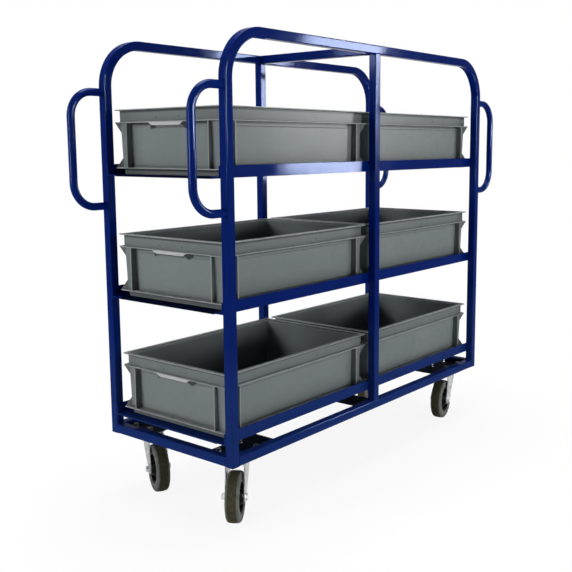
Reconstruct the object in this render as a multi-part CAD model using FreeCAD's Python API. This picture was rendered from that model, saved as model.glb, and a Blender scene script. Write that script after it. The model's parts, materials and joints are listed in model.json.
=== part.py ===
import FreeCAD, Part
import math
import os

from FreeCAD import Vector

# Order picking trolley. X runs along its length, Y across it and Z up from the floor.
# The origin is on the floor under the middle of the trolley, and sizes are in millimetres.

# Turns
quarter_turn = 90.0
half_turn = 180.0
full_turn = 360.0

# How far a cutting shape runs past the face that it cuts
cut_overrun = 1.0

# Stacking container, measured over its lips
container_length = 600.0
container_width = 400.0
container_height = 170.0
container_wall = 3.0
container_wall_inset = 18.0
container_wall_draft = 3.0
container_wall_radius = 12.0
container_lip = 3.0
container_lip_radius = 6.0
container_band_height = 36.0
container_band_inset = 9.0
container_band_radius = 8.0
container_foot_height = 15.0
container_foot_inset = 14.0
container_foot_radius = 14.0
container_cavity_radius = 9.0
container_step = 3.0

# Upright ribs near the corners of the container, and the raised panel between them
rib_thickness = 4.0
rib_corner_distance = 46.0
rib_tip_inset = 1.0
panel_rise = 1.5
panel_side_margin = 14.0
panel_upper_margin = 13.0
panel_lower_margin = 6.0

# Corner columns of the container, with slanting fins under the lip and over the base flange
corner_inset = 11.0
corner_radius = 6.0
fin_tip_distance = 4.0
fin_root_distance = 28.0
fin_upper_drop = 40.0
fin_lower_rise = 35.0

# Hooked grip under the lower lip at the short ends of the container: a bar between two cheeks
grip_length = 130.0
grip_depth = 8.0
grip_thickness = 3.0
grip_end_slant = 14.5
cheek_spread = 16.0
cheek_depth = 25.0
cheek_wall_depth = 16.0
cheek_belly_share = 0.45

# Room round the containers on a shelf
container_side_clearance = 6.0
container_gap = 20.0
container_end_room = 20.0
picking_gap = 160.0
top_headroom = 187.0

# Square tube of the frame
tube_size = 25.0
tube_wall = 2.0
tube_corner_radius = 3.0
hoop_bend_radius = 115.0

# Shelves of steel angle and flat bar
shelf_names = ("lower", "middle", "upper")
angle_leg = 30.0
angle_thickness = 3.0
angle_root_radius = 3.0
end_bar_width = 50.0
end_bar_thickness = 5.0
lowest_shelf_height = 55.0

# Flat plates of the base
base_plate_thickness = 5.0
base_plate_rise = 5.0
cross_plate_width = 84.0
mount_plate_overhang = 65.5
mount_plate_side_margin = 10.5

# Handles of round tube on the end posts
handle_diameter = 21.0
handle_wall = 2.0
handle_reach = 100.0
handle_height = 300.0
handle_bend_radius = 65.0
handle_drop = 142.0

# Caster top plate and swivel race
top_plate_length = 105.0
top_plate_width = 85.0
top_plate_thickness = 4.0
top_plate_radius = 8.0
top_plate_end_clearance = 14.5
top_plate_side_clearance = 4.5
race_height = 14.0
upper_race_diameter = 58.0
upper_race_height = 5.0
lower_race_diameter = 64.0
lower_race_neck_diameter = 54.0
race_clearance = 0.3

# Kingpin of the swivel
kingpin_diameter = 12.0
kingpin_head_diameter = 26.0
kingpin_head_height = 5.0
running_clearance = 0.05

# Bolts and nuts that fasten the casters
mount_bolt_diameter = 8.0
mount_bolt_spacing_length = 80.0
mount_bolt_spacing_width = 60.0
mount_bolt_hole_clearance = 0.5
mount_bolt_tail = 3.0
mount_hex_width = 13.0
mount_head_height = 5.5
mount_nut_height = 6.5

# Caster fork
fork_thickness = 3.5
fork_inner_width = 46.0
fork_bend_radius = 9.0
fork_crown_front = 30.0
fork_crown_back = 40.0
fork_crown_clearance = 19.5
fork_shoulder_drop = 26.0
fork_boss_radius = 15.0
caster_trail = 40.0

# Wheel
wheel_diameter = 133.0
tyre_width = 36.0
tyre_shoulder_radius = 7.0
tyre_crown_rise = 0.8
tyre_seat_narrowing = 1.0
tyre_clearance = 0.1
hub_rim_diameter = 88.0
hub_rim_width = 32.0
hub_rim_thickness = 5.0
hub_web_thickness = 9.0
hub_boss_diameter = 36.0
hub_boss_width = 44.0
hub_boss_flare = 10.0

# Axle of the wheel
axle_diameter = 10.0
axle_hole_clearance = 0.1
axle_hex_width = 17.0
axle_head_height = 6.5
axle_nut_height = 9.0
axle_tail = 1.5
sleeve_diameter = 15.0

# Which way each wheel trails behind its kingpin, in degrees round Z from +X
caster_turns = {
    "front_left": 213.8,
    "back_left": 242.3,
    "front_right": 192.5,
    "back_right": 196.0,
}

# Sizes that follow from the ones above
frame_length = 2 * container_length + container_gap + 2 * container_end_room
frame_width = container_width + 2 * (container_side_clearance + angle_thickness + tube_size)
half_length = frame_length / 2
half_width = frame_width / 2
half_tube = tube_size / 2
inner_half_width = half_width - tube_size

flange_top = container_foot_height + container_lip
lip_bottom = container_height - container_band_height
lip_top = lip_bottom + container_lip
rib_inside_distance = rib_corner_distance + rib_thickness

wheel_radius = wheel_diameter / 2
crown_bottom = wheel_diameter + fork_crown_clearance
crown_top = crown_bottom + fork_thickness
top_plate_bottom = crown_top + race_height
mount_height = top_plate_bottom + top_plate_thickness

base_bottom = mount_height - base_plate_rise
base_top = base_bottom + tube_size
base_plate_top = mount_height + base_plate_thickness
shelf_pitch = container_height + picking_gap
shelf_bottoms = [base_bottom + lowest_shelf_height + shelf_pitch * level for level in range(len(shelf_names))]
seat_heights = [bottom + angle_thickness for bottom in shelf_bottoms]
frame_top = seat_heights[-1] + container_height + top_headroom
hoop_outer_radius = hoop_bend_radius + half_tube
hoop_joint_height = frame_top - hoop_outer_radius

caster_x = half_length - tube_size - top_plate_end_clearance - top_plate_length / 2
caster_y = half_width - tube_size - top_plate_side_clearance - top_plate_width / 2
mount_plate_length = top_plate_end_clearance + top_plate_length + mount_plate_overhang
mount_plate_width = top_plate_side_clearance + top_plate_width + mount_plate_side_margin


def rounded_outline(length, width, radius):
    """Closed wire of a rectangle with round corners, centred in the XY plane."""
    across = length / 2
    along = width / 2
    diagonal = radius * (1 - math.sqrt(0.5))
    edges = []
    for quarter in range(4):
        turn = quarter * quarter_turn
        reach, side = (across, along) if quarter % 2 == 0 else (along, across)
        straight = Part.makeLine(Vector(reach, radius - side, 0), Vector(reach, side - radius, 0))
        corner = Part.Arc(
            Vector(reach, side - radius, 0),
            Vector(reach - diagonal, side - diagonal, 0),
            Vector(reach - radius, side, 0),
        ).toShape()
        for edge in (straight, corner):
            edge.rotate(Vector(), Vector(0, 0, 1), turn)
            edges.append(edge)
    return Part.Wire(Part.__sortEdges__(edges))


def rounded_prism(length, width, radius, low, high):
    """Upright prism on a rounded rectangle, between two heights."""
    prism = Part.Face(rounded_outline(length, width, radius)).extrude(Vector(0, 0, high - low))
    prism.translate(Vector(0, 0, low))
    return prism


def polygon_face(points):
    return Part.Face(Part.makePolygon(list(points) + [points[0]]))


def joined(shapes):
    """One solid made of touching or overlapping shapes, without seams between them."""
    return shapes[0].fuse(shapes[1:]).removeSplitter()


def hex_prism(width, height):
    """Upright hexagon of the given width over its flats, standing on the XY plane."""
    reach = width / 2 / math.cos(math.radians(half_turn / 6))
    corners = []
    for corner in range(6):
        angle = math.radians(corner * full_turn / 6)
        corners.append(Vector(reach * math.cos(angle), reach * math.sin(angle), 0))
    return polygon_face(corners).extrude(Vector(0, 0, height))


def save(shape, name):
    shape.exportStep("parts/" + name + ".step")


# Frame of square tube

def square_tube(length):
    """Hollow square tube that stands on the XY plane."""
    bore = tube_size - 2 * tube_wall
    bore_radius = tube_corner_radius - tube_wall
    outside = rounded_prism(tube_size, tube_size, tube_corner_radius, 0, length)
    inside = rounded_prism(bore, bore, bore_radius, -cut_overrun, length + cut_overrun)
    return outside.cut(inside)


def tube_along_x(length, y, z):
    tube = square_tube(length)
    tube.rotate(Vector(), Vector(0, 1, 0), quarter_turn)
    tube.translate(Vector(-length / 2, y, z))
    return tube


def tube_along_y(length, x, z):
    tube = square_tube(length)
    tube.rotate(Vector(), Vector(1, 0, 0), -quarter_turn)
    tube.translate(Vector(x, -length / 2, z))
    return tube


def make_posts():
    post_centre_x = half_length - half_tube
    post_centre_y = half_width - half_tube
    corner_post = square_tube(hoop_joint_height - base_bottom)
    corner_post.translate(Vector(0, 0, base_bottom))
    middle_post = square_tube(frame_top - tube_size - base_top)
    middle_post.translate(Vector(0, 0, base_top))
    for y_name, y in (("front", -post_centre_y), ("back", post_centre_y)):
        for x_name, x in (("left", -post_centre_x), ("right", post_centre_x)):
            post = corner_post.copy()
            post.translate(Vector(x, y, 0))
            save(post, "post_" + y_name + "_" + x_name)
        post = middle_post.copy()
        post.translate(Vector(0, y, 0))
        save(post, "post_" + y_name + "_middle")


def hoop_solid(size, radius):
    """Bent bar of square section: a straight top with a quarter bend down at each end."""
    straight_half = half_length - hoop_outer_radius
    centre_z = frame_top - hoop_outer_radius
    section = Part.Face(rounded_outline(size, size, radius))
    section.rotate(Vector(), Vector(0, 1, 0), quarter_turn)
    section.translate(Vector(-straight_half, 0, frame_top - half_tube))
    straight = section.extrude(Vector(2 * straight_half, 0, 0))
    left_bend = section.revolve(Vector(-straight_half, 0, centre_z), Vector(0, -1, 0), quarter_turn)
    right_bend = left_bend.mirror(Vector(), Vector(1, 0, 0))
    return joined([straight, left_bend, right_bend])


def make_top():
    bore = tube_size - 2 * tube_wall
    hoop = hoop_solid(tube_size, tube_corner_radius).cut(hoop_solid(bore, tube_corner_radius - tube_wall))
    for name, y in (("front", half_tube - half_width), ("back", half_width - half_tube)):
        placed = hoop.copy()
        placed.translate(Vector(0, y, 0))
        save(placed, "top_hoop_" + name)
    save(tube_along_y(2 * inner_half_width, 0, frame_top - half_tube), "top_cross_bar")


def make_base():
    middle_z = base_bottom + half_tube
    side_length = frame_length - 2 * tube_size
    save(tube_along_x(side_length, half_tube - half_width, middle_z), "base_rail_front")
    save(tube_along_x(side_length, half_width - half_tube, middle_z), "base_rail_back")
    save(tube_along_y(2 * inner_half_width, half_tube - half_length, middle_z), "base_rail_left")
    save(tube_along_y(2 * inner_half_width, half_length - half_tube, middle_z), "base_rail_right")
    corner = Vector(-cross_plate_width / 2, -inner_half_width, mount_height)
    cross_plate = Part.makeBox(cross_plate_width, 2 * inner_half_width, base_plate_thickness, corner)
    save(cross_plate, "base_cross_plate")


def bolt_places():
    """Places of the four mount bolts round a kingpin."""
    x = mount_bolt_spacing_length / 2
    y = mount_bolt_spacing_width / 2
    return [Vector(-x, -y, 0), Vector(x, -y, 0), Vector(x, y, 0), Vector(-x, y, 0)]


def bolt_holes(low, high):
    """Clearance holes for the mount bolts, between two heights and a little past them."""
    radius = mount_bolt_diameter / 2 + mount_bolt_hole_clearance
    depth = high - low + 2 * cut_overrun
    return [Part.makeCylinder(radius, depth, place + Vector(0, 0, low - cut_overrun)) for place in bolt_places()]


def make_mount_plates():
    """Flat plates welded into the corners of the base, each bored for the bolts of one caster."""
    plates = []
    for side_x in (-1, 1):
        for side_y in (-1, 1):
            x = side_x * (half_length - tube_size - mount_plate_length / 2)
            y = side_y * (inner_half_width - mount_plate_width / 2)
            corner = Vector(x - mount_plate_length / 2, y - mount_plate_width / 2, mount_height)
            plate = Part.makeBox(mount_plate_length, mount_plate_width, base_plate_thickness, corner)
            for hole in bolt_holes(mount_height, base_plate_top):
                hole.translate(Vector(side_x * caster_x, side_y * caster_y, 0))
                plate = plate.cut(hole)
            plates.append(plate)
    save(Part.makeCompound(plates), "caster_mount_plates")


# Shelves

def shelf_angle():
    """Steel angle along X with a rounded root: one leg stands up, the other points to +Y."""
    root = angle_thickness + angle_root_radius
    root_middle = root - angle_root_radius * math.sqrt(0.5)
    straight = [
        Vector(0, angle_thickness, root),
        Vector(0, angle_thickness, angle_leg),
        Vector(0, 0, angle_leg),
        Vector(),
        Vector(0, angle_leg, 0),
        Vector(0, angle_leg, angle_thickness),
        Vector(0, root, angle_thickness),
    ]
    middle = Vector(0, root_middle, root_middle)
    root_arc = Part.Arc(straight[-1], middle, straight[0]).toShape()
    outline = Part.Wire(Part.makePolygon(straight).Edges + [root_arc])
    return Part.Face(outline).extrude(Vector(frame_length, 0, 0))


def make_shelves():
    angle = shelf_angle()
    bar_length = 2 * (inner_half_width - angle_leg)
    for name, bottom, seat in zip(shelf_names, shelf_bottoms, seat_heights):
        front = angle.copy()
        front.translate(Vector(-half_length, -inner_half_width, bottom))
        save(front, "shelf_rail_" + name + "_front")
        back = angle.copy()
        back.rotate(Vector(), Vector(0, 0, 1), half_turn)
        back.translate(Vector(half_length, inner_half_width, bottom))
        save(back, "shelf_rail_" + name + "_back")
        bars = []
        for x in (-half_length, half_length - end_bar_width):
            corner = Vector(x, -bar_length / 2, seat - end_bar_thickness)
            bars.append(Part.makeBox(end_bar_width, bar_length, end_bar_thickness, corner))
        save(Part.makeCompound(bars), "shelf_end_bars_" + name)


# Handles

def handle_solid(diameter):
    """D-shaped bar in the XZ plane that starts and ends on the plane of X = 0."""
    radius = diameter / 2
    straight_reach = handle_reach - handle_bend_radius
    top = handle_height / 2
    bend_z = top - handle_bend_radius
    upper_arm = Part.makeCylinder(radius, straight_reach, Vector(0, 0, top), Vector(1, 0, 0))
    grip = Part.makeCylinder(radius, 2 * bend_z, Vector(handle_reach, 0, -bend_z))
    section = Part.Face(Part.Wire(Part.makeCircle(radius, Vector(handle_reach, 0, bend_z))))
    bend_centre = Vector(straight_reach, 0, bend_z)
    upper_bend = section.revolve(bend_centre, Vector(0, -1, 0), quarter_turn)
    upper = [upper_arm, upper_bend]
    lower = [shape.mirror(Vector(), Vector(0, 0, 1)) for shape in upper]
    return joined([grip] + upper + lower)


def make_handles():
    handle = handle_solid(handle_diameter).cut(handle_solid(handle_diameter - 2 * handle_wall))
    handle.translate(Vector(half_length, 0, frame_top - handle_drop - handle_height / 2))
    for x_name, turn in (("left", half_turn), ("right", 0)):
        for y_name, y in (("front", half_tube - half_width), ("back", half_width - half_tube)):
            placed = handle.copy()
            placed.rotate(Vector(), Vector(0, 0, 1), turn)
            placed.translate(Vector(0, y, 0))
            save(placed, "handle_" + y_name + "_" + x_name)


# Containers

def container_layer(inset, radius, low, high):
    """One storey of the container's outline, drawn in from the lips by an inset."""
    length = container_length - 2 * inset
    return rounded_prism(length, container_width - 2 * inset, radius, low, high)


def drafted_layer(inset, radius, low, high):
    """Storey whose walls lean in towards the base; the inset is the one at the lower lip."""
    outlines = []
    for height in (low, high):
        lean = container_wall_draft * (lip_bottom - height) / (lip_bottom - flange_top)
        drawn_in = 2 * (inset + lean)
        outline = rounded_outline(container_length - drawn_in, container_width - drawn_in, radius)
        outline.translate(Vector(0, 0, height))
        outlines.append(outline)
    return Part.makeLoft(outlines, True, True)


def container_ribs():
    """Two upright ribs near the corners on each of the four sides."""
    root = container_wall_inset + container_wall / 2
    ribs = []
    for quarter in range(4):
        reach, side = container_length / 2, container_width / 2
        if quarter % 2:
            reach, side = side, reach
        profile = [
            Vector(reach - root - container_wall_draft, 0, flange_top),
            Vector(reach - rib_tip_inset, 0, flange_top),
            Vector(reach - rib_tip_inset, 0, lip_bottom),
            Vector(reach - root, 0, lip_bottom),
        ]
        for y in (rib_corner_distance - side, side - rib_inside_distance):
            rib = polygon_face(profile).extrude(Vector(0, rib_thickness, 0))
            rib.translate(Vector(0, y, 0))
            rib.rotate(Vector(), Vector(0, 0, 1), quarter * quarter_turn)
            ribs.append(rib)
    return ribs


def container_panels():
    """Panels between the ribs that stand a little proud of the wall, as bars through the container."""
    low = flange_top + panel_lower_margin
    high = lip_bottom - panel_upper_margin
    raised = drafted_layer(container_wall_inset - panel_rise, container_wall_radius, low, high)
    margin = rib_inside_distance + panel_side_margin
    bars = []
    for margin_x, margin_y in ((margin, 0), (0, margin)):
        length = container_length - 2 * margin_x
        width = container_width - 2 * margin_y
        bar = Part.makeBox(length, width, container_height, Vector(-length / 2, -width / 2, 0))
        bars.append(raised.common(bar))
    return bars


def container_corners():
    """Corner columns that stand proud of the wall, each from rib to rib."""
    column = drafted_layer(corner_inset, corner_radius, flange_top, lip_bottom)
    size = rib_corner_distance + rib_thickness / 2
    corners = []
    for x in (-container_length / 2, container_length / 2 - size):
        for y in (-container_width / 2, container_width / 2 - size):
            corners.append(column.common(Part.makeBox(size, size, container_height, Vector(x, y, 0))))
    return corners


def container_fins():
    """Three-cornered fins on the diagonal of each corner, under the lip and over the base flange."""
    outlines = [
        [
            Vector(-fin_tip_distance, 0, lip_bottom),
            Vector(-fin_root_distance, 0, lip_bottom),
            Vector(-fin_root_distance, 0, lip_bottom - fin_upper_drop),
        ],
        [
            Vector(-fin_tip_distance, 0, flange_top),
            Vector(-fin_root_distance, 0, flange_top),
            Vector(-fin_root_distance, 0, flange_top + fin_lower_rise),
        ],
    ]
    fins = []
    for side_x in (-1, 1):
        for side_y in (-1, 1):
            diagonal = math.degrees(math.atan2(side_y, side_x))
            for outline in outlines:
                fin = polygon_face(outline).extrude(Vector(0, rib_thickness, 0))
                fin.translate(Vector(0, -rib_thickness / 2, 0))
                fin.rotate(Vector(), Vector(0, 0, 1), diagonal)
                fin.translate(Vector(side_x * container_length / 2, side_y * container_width / 2, 0))
                fins.append(fin)
    return fins


def grip_bar():
    """Bar that hangs from the edge of the lower lip at the right-hand end, with slanted ends."""
    upper = grip_length / 2
    lower = upper - grip_end_slant
    x = container_length / 2 - grip_thickness
    outline = [
        Vector(x, -upper, lip_bottom),
        Vector(x, upper, lip_bottom),
        Vector(x, lower, lip_bottom - grip_depth),
        Vector(x, -lower, lip_bottom - grip_depth),
    ]
    return polygon_face(outline).extrude(Vector(grip_thickness, 0, 0))


def grip_cheek():
    """Plate that runs from one end of the grip's bar back to the wall and spreads outwards."""
    depth = container_wall_inset + container_wall / 2 - grip_thickness
    length = math.hypot(depth, cheek_spread)
    outline = [
        Vector(0, 0, lip_bottom),
        Vector(0, 0, lip_bottom - grip_depth),
        Vector(-length * cheek_belly_share, 0, lip_bottom - cheek_depth),
        Vector(-length, 0, lip_bottom - cheek_wall_depth),
        Vector(-length, 0, lip_bottom),
    ]
    cheek = polygon_face(outline).extrude(Vector(0, grip_thickness, 0))
    cheek.rotate(Vector(), Vector(0, 0, 1), -math.degrees(math.atan2(cheek_spread, depth)))
    bar_end = (grip_length - grip_end_slant) / 2 - grip_thickness
    cheek.translate(Vector(container_length / 2 - grip_thickness, bar_end, 0))
    return cheek


def container_grips():
    """Hooked grips under the lower lip at both short ends."""
    cheek = grip_cheek()
    right = [grip_bar(), cheek, cheek.mirror(Vector(), Vector(0, 1, 0))]
    return right + [shape.mirror(Vector(), Vector(1, 0, 0)) for shape in right]


def skirt_groove():
    """Room between the band and the wall, open underneath, that keeps the moulding thin."""
    high = container_height - container_step - container_wall
    band_cavity = container_band_inset + container_wall
    outside = container_layer(band_cavity, container_cavity_radius, lip_bottom, high)
    return outside.cut(drafted_layer(container_wall_inset, container_wall_radius, lip_bottom, high))


def container_solid():
    """Stacking container: foot, base flange, ribbed wall, band between two lips, and stepped rim."""
    rim_bottom = container_height - container_lip
    rim_top = container_height + cut_overrun
    band = joined([
        container_layer(0, container_lip_radius, lip_bottom, lip_top),
        container_layer(container_band_inset, container_band_radius, lip_top, rim_bottom),
        container_layer(0, container_lip_radius, rim_bottom, container_height),
    ]).cut(skirt_groove())
    body = joined([
        container_layer(container_foot_inset, container_foot_radius, 0, container_foot_height),
        container_layer(0, container_lip_radius, container_foot_height, flange_top),
        drafted_layer(container_wall_inset, container_wall_radius, flange_top, lip_bottom),
        band,
    ] + container_panels() + container_corners() + container_ribs() + container_fins() + container_grips())
    step_inset = container_band_inset + container_wall
    step = container_layer(step_inset, container_cavity_radius, container_height - container_step, rim_top)
    wall_cavity = container_wall_inset + container_wall
    cavity = drafted_layer(wall_cavity, container_cavity_radius, container_wall, rim_top)
    return body.cut([step, cavity])


def make_containers():
    container = container_solid()
    x = (container_length + container_gap) / 2
    for name, seat in zip(shelf_names, seat_heights):
        for side, place in (("left", -x), ("right", x)):
            placed = container.copy()
            placed.translate(Vector(place, 0, seat))
            save(placed, "container_" + name + "_" + side)


# Casters, drawn with the kingpin on the Z axis and the wheel trailing towards +X

def caster_top_plate():
    """Plate with rounded corners, four bolt holes and the upper race pressed under it."""
    plate = rounded_prism(top_plate_length, top_plate_width, top_plate_radius, top_plate_bottom, mount_height)
    race_bottom = Vector(0, 0, top_plate_bottom - upper_race_height)
    race = Part.makeCylinder(upper_race_diameter / 2, upper_race_height, race_bottom)
    plate = joined([plate, race])
    for hole in bolt_holes(top_plate_bottom, mount_height):
        plate = plate.cut(hole)
    return plate.cut(kingpin_bore(race_bottom.z, mount_height))


def kingpin_bore(low, high):
    radius = kingpin_diameter / 2 + running_clearance
    return Part.makeCylinder(radius, high - low + 2 * cut_overrun, Vector(0, 0, low - cut_overrun))


def caster_kingpin():
    """Pin that holds the fork under the top plate, with its head inside the fork's crown."""
    head_top = crown_bottom - race_clearance
    shank = Part.makeCylinder(kingpin_diameter / 2, mount_height - head_top, Vector(0, 0, head_top))
    head_place = Vector(0, 0, head_top - kingpin_head_height)
    head = Part.makeCylinder(kingpin_head_diameter / 2, kingpin_head_height, head_place)
    return joined([shank, head])


def fork_channel():
    """Folded strip with two legs and a crown, longer than the fork and open underneath."""
    outer_half = fork_inner_width / 2 + fork_thickness
    inner_half = fork_inner_width / 2
    inner_radius = fork_bend_radius - fork_thickness
    length = fork_crown_front + fork_crown_back + caster_trail + 2 * fork_boss_radius
    middle_z = wheel_radius - fork_boss_radius - cut_overrun

    def fold(half, radius, top):
        slack = radius * (1 - math.sqrt(0.5))
        right = [Vector(0, half, middle_z), Vector(0, half, top - radius)]
        bend_end = Vector(0, half - radius, top)
        bend_middle = Vector(0, half - slack, top - slack)
        flip = FreeCAD.Matrix(1, 0, 0, 0, 0, -1, 0, 0, 0, 0, 1, 0, 0, 0, 0, 1)
        left = [flip.multVec(point) for point in right]
        edges = [
            Part.makeLine(right[0], right[1]),
            Part.Arc(right[1], bend_middle, bend_end).toShape(),
            Part.makeLine(bend_end, flip.multVec(bend_end)),
            Part.Arc(flip.multVec(bend_end), flip.multVec(bend_middle), left[1]).toShape(),
            Part.makeLine(left[1], left[0]),
            Part.makeLine(left[0], right[0]),
        ]
        return Part.Face(Part.Wire(edges)).extrude(Vector(length, 0, 0))

    outside = fold(outer_half, fork_bend_radius, crown_top)
    inside = fold(inner_half, inner_radius, crown_bottom)
    channel = outside.cut(inside)
    channel.translate(Vector(-fork_crown_front, 0, 0))
    return channel


def fork_outline():
    """Side view of the fork as a solid: a wide crown that narrows to round bosses at the axle."""
    shoulder = crown_top - fork_shoulder_drop
    depth = fork_inner_width + 2 * fork_thickness
    front_foot, back_foot = boss_tangents(shoulder)
    flank = [
        Vector(-fork_crown_front, 0, crown_top),
        Vector(-fork_crown_front, 0, shoulder),
        front_foot,
        Vector(caster_trail, 0, wheel_radius),
        back_foot,
        Vector(fork_crown_back, 0, shoulder),
        Vector(fork_crown_back, 0, crown_top),
    ]
    plate = polygon_face(flank).extrude(Vector(0, depth, 0))
    boss = Part.makeCylinder(fork_boss_radius, depth, Vector(caster_trail, 0, wheel_radius), Vector(0, 1, 0))
    outline = joined([plate, boss])
    outline.translate(Vector(0, -depth / 2, 0))
    return outline


def boss_tangents(shoulder):
    """Points where straight flanks from the shoulders touch the round boss at the axle."""
    feet = []
    for x, side in ((-fork_crown_front, -1), (fork_crown_back, 1)):
        across = x - caster_trail
        up = shoulder - wheel_radius
        distance = math.hypot(across, up)
        angle = math.atan2(up, across) - side * math.acos(fork_boss_radius / distance)
        foot_x = caster_trail + fork_boss_radius * math.cos(angle)
        feet.append(Vector(foot_x, 0, wheel_radius + fork_boss_radius * math.sin(angle)))
    return feet


def caster_fork():
    """Pressed fork with its lower race on top, bored for the kingpin and the axle bolt."""
    race_top = top_plate_bottom - upper_race_height - race_clearance
    race = Part.makeCone(
        lower_race_neck_diameter / 2, lower_race_diameter / 2, race_top - crown_top, Vector(0, 0, crown_top)
    )
    fork = joined([fork_channel().common(fork_outline()), race])
    fork = fork.cut(kingpin_bore(crown_bottom, race_top))
    hole_radius = axle_diameter / 2 + axle_hole_clearance
    depth = fork_inner_width + 2 * (fork_thickness + cut_overrun)
    hole = Part.makeCylinder(
        hole_radius, depth, Vector(caster_trail, -depth / 2, wheel_radius), Vector(0, 1, 0)
    )
    return fork.cut(hole)


def axle_bolt():
    """Hex bolt through both fork legs, with its nut as a second solid."""
    outer_half = fork_inner_width / 2 + fork_thickness
    length = 2 * outer_half + axle_nut_height + axle_tail
    head = hex_prism(axle_hex_width, axle_head_height)
    head.translate(Vector(0, 0, -axle_head_height))
    bolt = joined([Part.makeCylinder(axle_diameter / 2, length), head])
    nut_bore = Part.makeCylinder(axle_diameter / 2 + running_clearance, axle_nut_height + 2 * cut_overrun)
    nut_bore.translate(Vector(0, 0, -cut_overrun))
    nut = hex_prism(axle_hex_width, axle_nut_height).cut(nut_bore)
    nut.translate(Vector(0, 0, 2 * outer_half))
    axle = Part.makeCompound([bolt, nut])
    axle.rotate(Vector(), Vector(1, 0, 0), quarter_turn)
    axle.translate(Vector(caster_trail, outer_half, wheel_radius))
    return axle


def axle_sleeve():
    """Tube clamped between the fork legs, on which the hub turns."""
    place = Vector(caster_trail, -fork_inner_width / 2, wheel_radius)
    along = Vector(0, 1, 0)
    outside = Part.makeCylinder(sleeve_diameter / 2, fork_inner_width, place, along)
    bore = Part.makeCylinder(axle_diameter / 2 + axle_hole_clearance, fork_inner_width, place, along)
    return outside.cut(bore)


def turned(profile_edges):
    """Solid turned about the wheel's axle from a closed profile of radius along X and width along Y."""
    face = Part.Face(Part.Wire(profile_edges))
    solid = face.revolve(Vector(), Vector(0, 1, 0), full_turn)
    solid.translate(Vector(caster_trail, 0, wheel_radius))
    return solid


def wheel_hub():
    """Moulded hub: rim, thinner web, and a flared boss with the bore for the sleeve."""
    bore = sleeve_diameter / 2 + running_clearance
    boss = hub_boss_diameter / 2
    rim = hub_rim_diameter / 2
    rim_inside = rim - hub_rim_thickness
    half = [
        Vector(bore, hub_boss_width / 2, 0),
        Vector(boss, hub_boss_width / 2, 0),
        Vector(boss + hub_boss_flare, hub_web_thickness / 2, 0),
        Vector(rim_inside, hub_web_thickness / 2, 0),
        Vector(rim_inside, hub_rim_width / 2, 0),
        Vector(rim, hub_rim_width / 2, 0),
    ]
    other = [Vector(point.x, -point.y, 0) for point in reversed(half)]
    outline = half + other
    return turned(Part.makePolygon(outline + [outline[0]]).Edges)


def wheel_tyre():
    """Solid rubber tyre with bulging side walls, round shoulders and a slightly crowned tread."""
    seat = hub_rim_diameter / 2 + tyre_clearance
    half_tyre = tyre_width / 2
    shoulder_x = wheel_radius - tyre_crown_rise - tyre_shoulder_radius
    slack = tyre_shoulder_radius * (1 - math.sqrt(0.5))
    tread_edge = Vector(wheel_radius - tyre_crown_rise, half_tyre - tyre_shoulder_radius, 0)
    wall_top = Vector(shoulder_x, half_tyre, 0)
    shoulder_middle = Vector(tread_edge.x - slack, half_tyre - slack, 0)
    seat_edge = Vector(seat, half_tyre - tyre_seat_narrowing, 0)

    def opposite(point):
        return Vector(point.x, -point.y, 0)

    edges = [
        Part.makeLine(seat_edge, wall_top),
        Part.Arc(wall_top, shoulder_middle, tread_edge).toShape(),
        Part.Arc(tread_edge, Vector(wheel_radius, 0, 0), opposite(tread_edge)).toShape(),
        Part.Arc(opposite(tread_edge), opposite(shoulder_middle), opposite(wall_top)).toShape(),
        Part.makeLine(opposite(wall_top), opposite(seat_edge)),
        Part.makeLine(opposite(seat_edge), seat_edge),
    ]
    return turned(edges)


def mount_fasteners():
    """Four bolts with their heads under the top plate, and four nuts on the mount plate."""
    head = hex_prism(mount_hex_width, mount_head_height)
    head.translate(Vector(0, 0, top_plate_bottom - mount_head_height))
    shank_length = base_plate_top - top_plate_bottom + mount_nut_height + mount_bolt_tail
    shank_place = Vector(0, 0, top_plate_bottom)
    bolt = joined([head, Part.makeCylinder(mount_bolt_diameter / 2, shank_length, shank_place)])
    bore = Part.makeCylinder(mount_bolt_diameter / 2 + running_clearance, mount_nut_height)
    nut = hex_prism(mount_hex_width, mount_nut_height).cut(bore)
    nut.translate(Vector(0, 0, base_plate_top))
    fasteners = []
    for place in bolt_places():
        for shape in (bolt, nut):
            fastener = shape.copy()
            fastener.translate(place)
            fasteners.append(fastener)
    return fasteners


def make_casters():
    plate = caster_top_plate()
    turning = {
        "fork": caster_fork(),
        "axle_bolt": axle_bolt(),
        "axle_sleeve": axle_sleeve(),
        "hub": wheel_hub(),
        "tyre": wheel_tyre(),
    }
    kingpin = caster_kingpin()
    fasteners = mount_fasteners()
    kingpins = []
    bolts_and_nuts = []
    for name, turn in caster_turns.items():
        y_name, x_name = name.split("_")
        place = Vector(caster_x if x_name == "right" else -caster_x, caster_y if y_name == "back" else -caster_y, 0)
        placed_plate = plate.copy()
        placed_plate.translate(place)
        save(placed_plate, "caster_" + name + "_top_plate")
        for piece, shape in turning.items():
            placed = shape.copy()
            placed.rotate(Vector(), Vector(0, 0, 1), turn)
            placed.translate(place)
            save(placed, "caster_" + name + "_" + piece)
        for shape, group in [(kingpin, kingpins)] + [(shape, bolts_and_nuts) for shape in fasteners]:
            placed = shape.copy()
            placed.translate(place)
            group.append(placed)
    save(Part.makeCompound(kingpins), "caster_kingpins")
    save(Part.makeCompound(bolts_and_nuts), "caster_mount_bolts")


os.makedirs("parts", exist_ok=True)
make_posts()
make_top()
make_base()
make_mount_plates()
make_shelves()
make_handles()
make_containers()
make_casters()
print("height", round(frame_top, 1), "length", frame_length, "width", frame_width)
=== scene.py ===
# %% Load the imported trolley
import json
import bmesh
import bpy
from math import acos, atan2, cos, hypot, pi, radians, sin, sqrt, tau
from mathutils import Matrix, Vector


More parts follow.
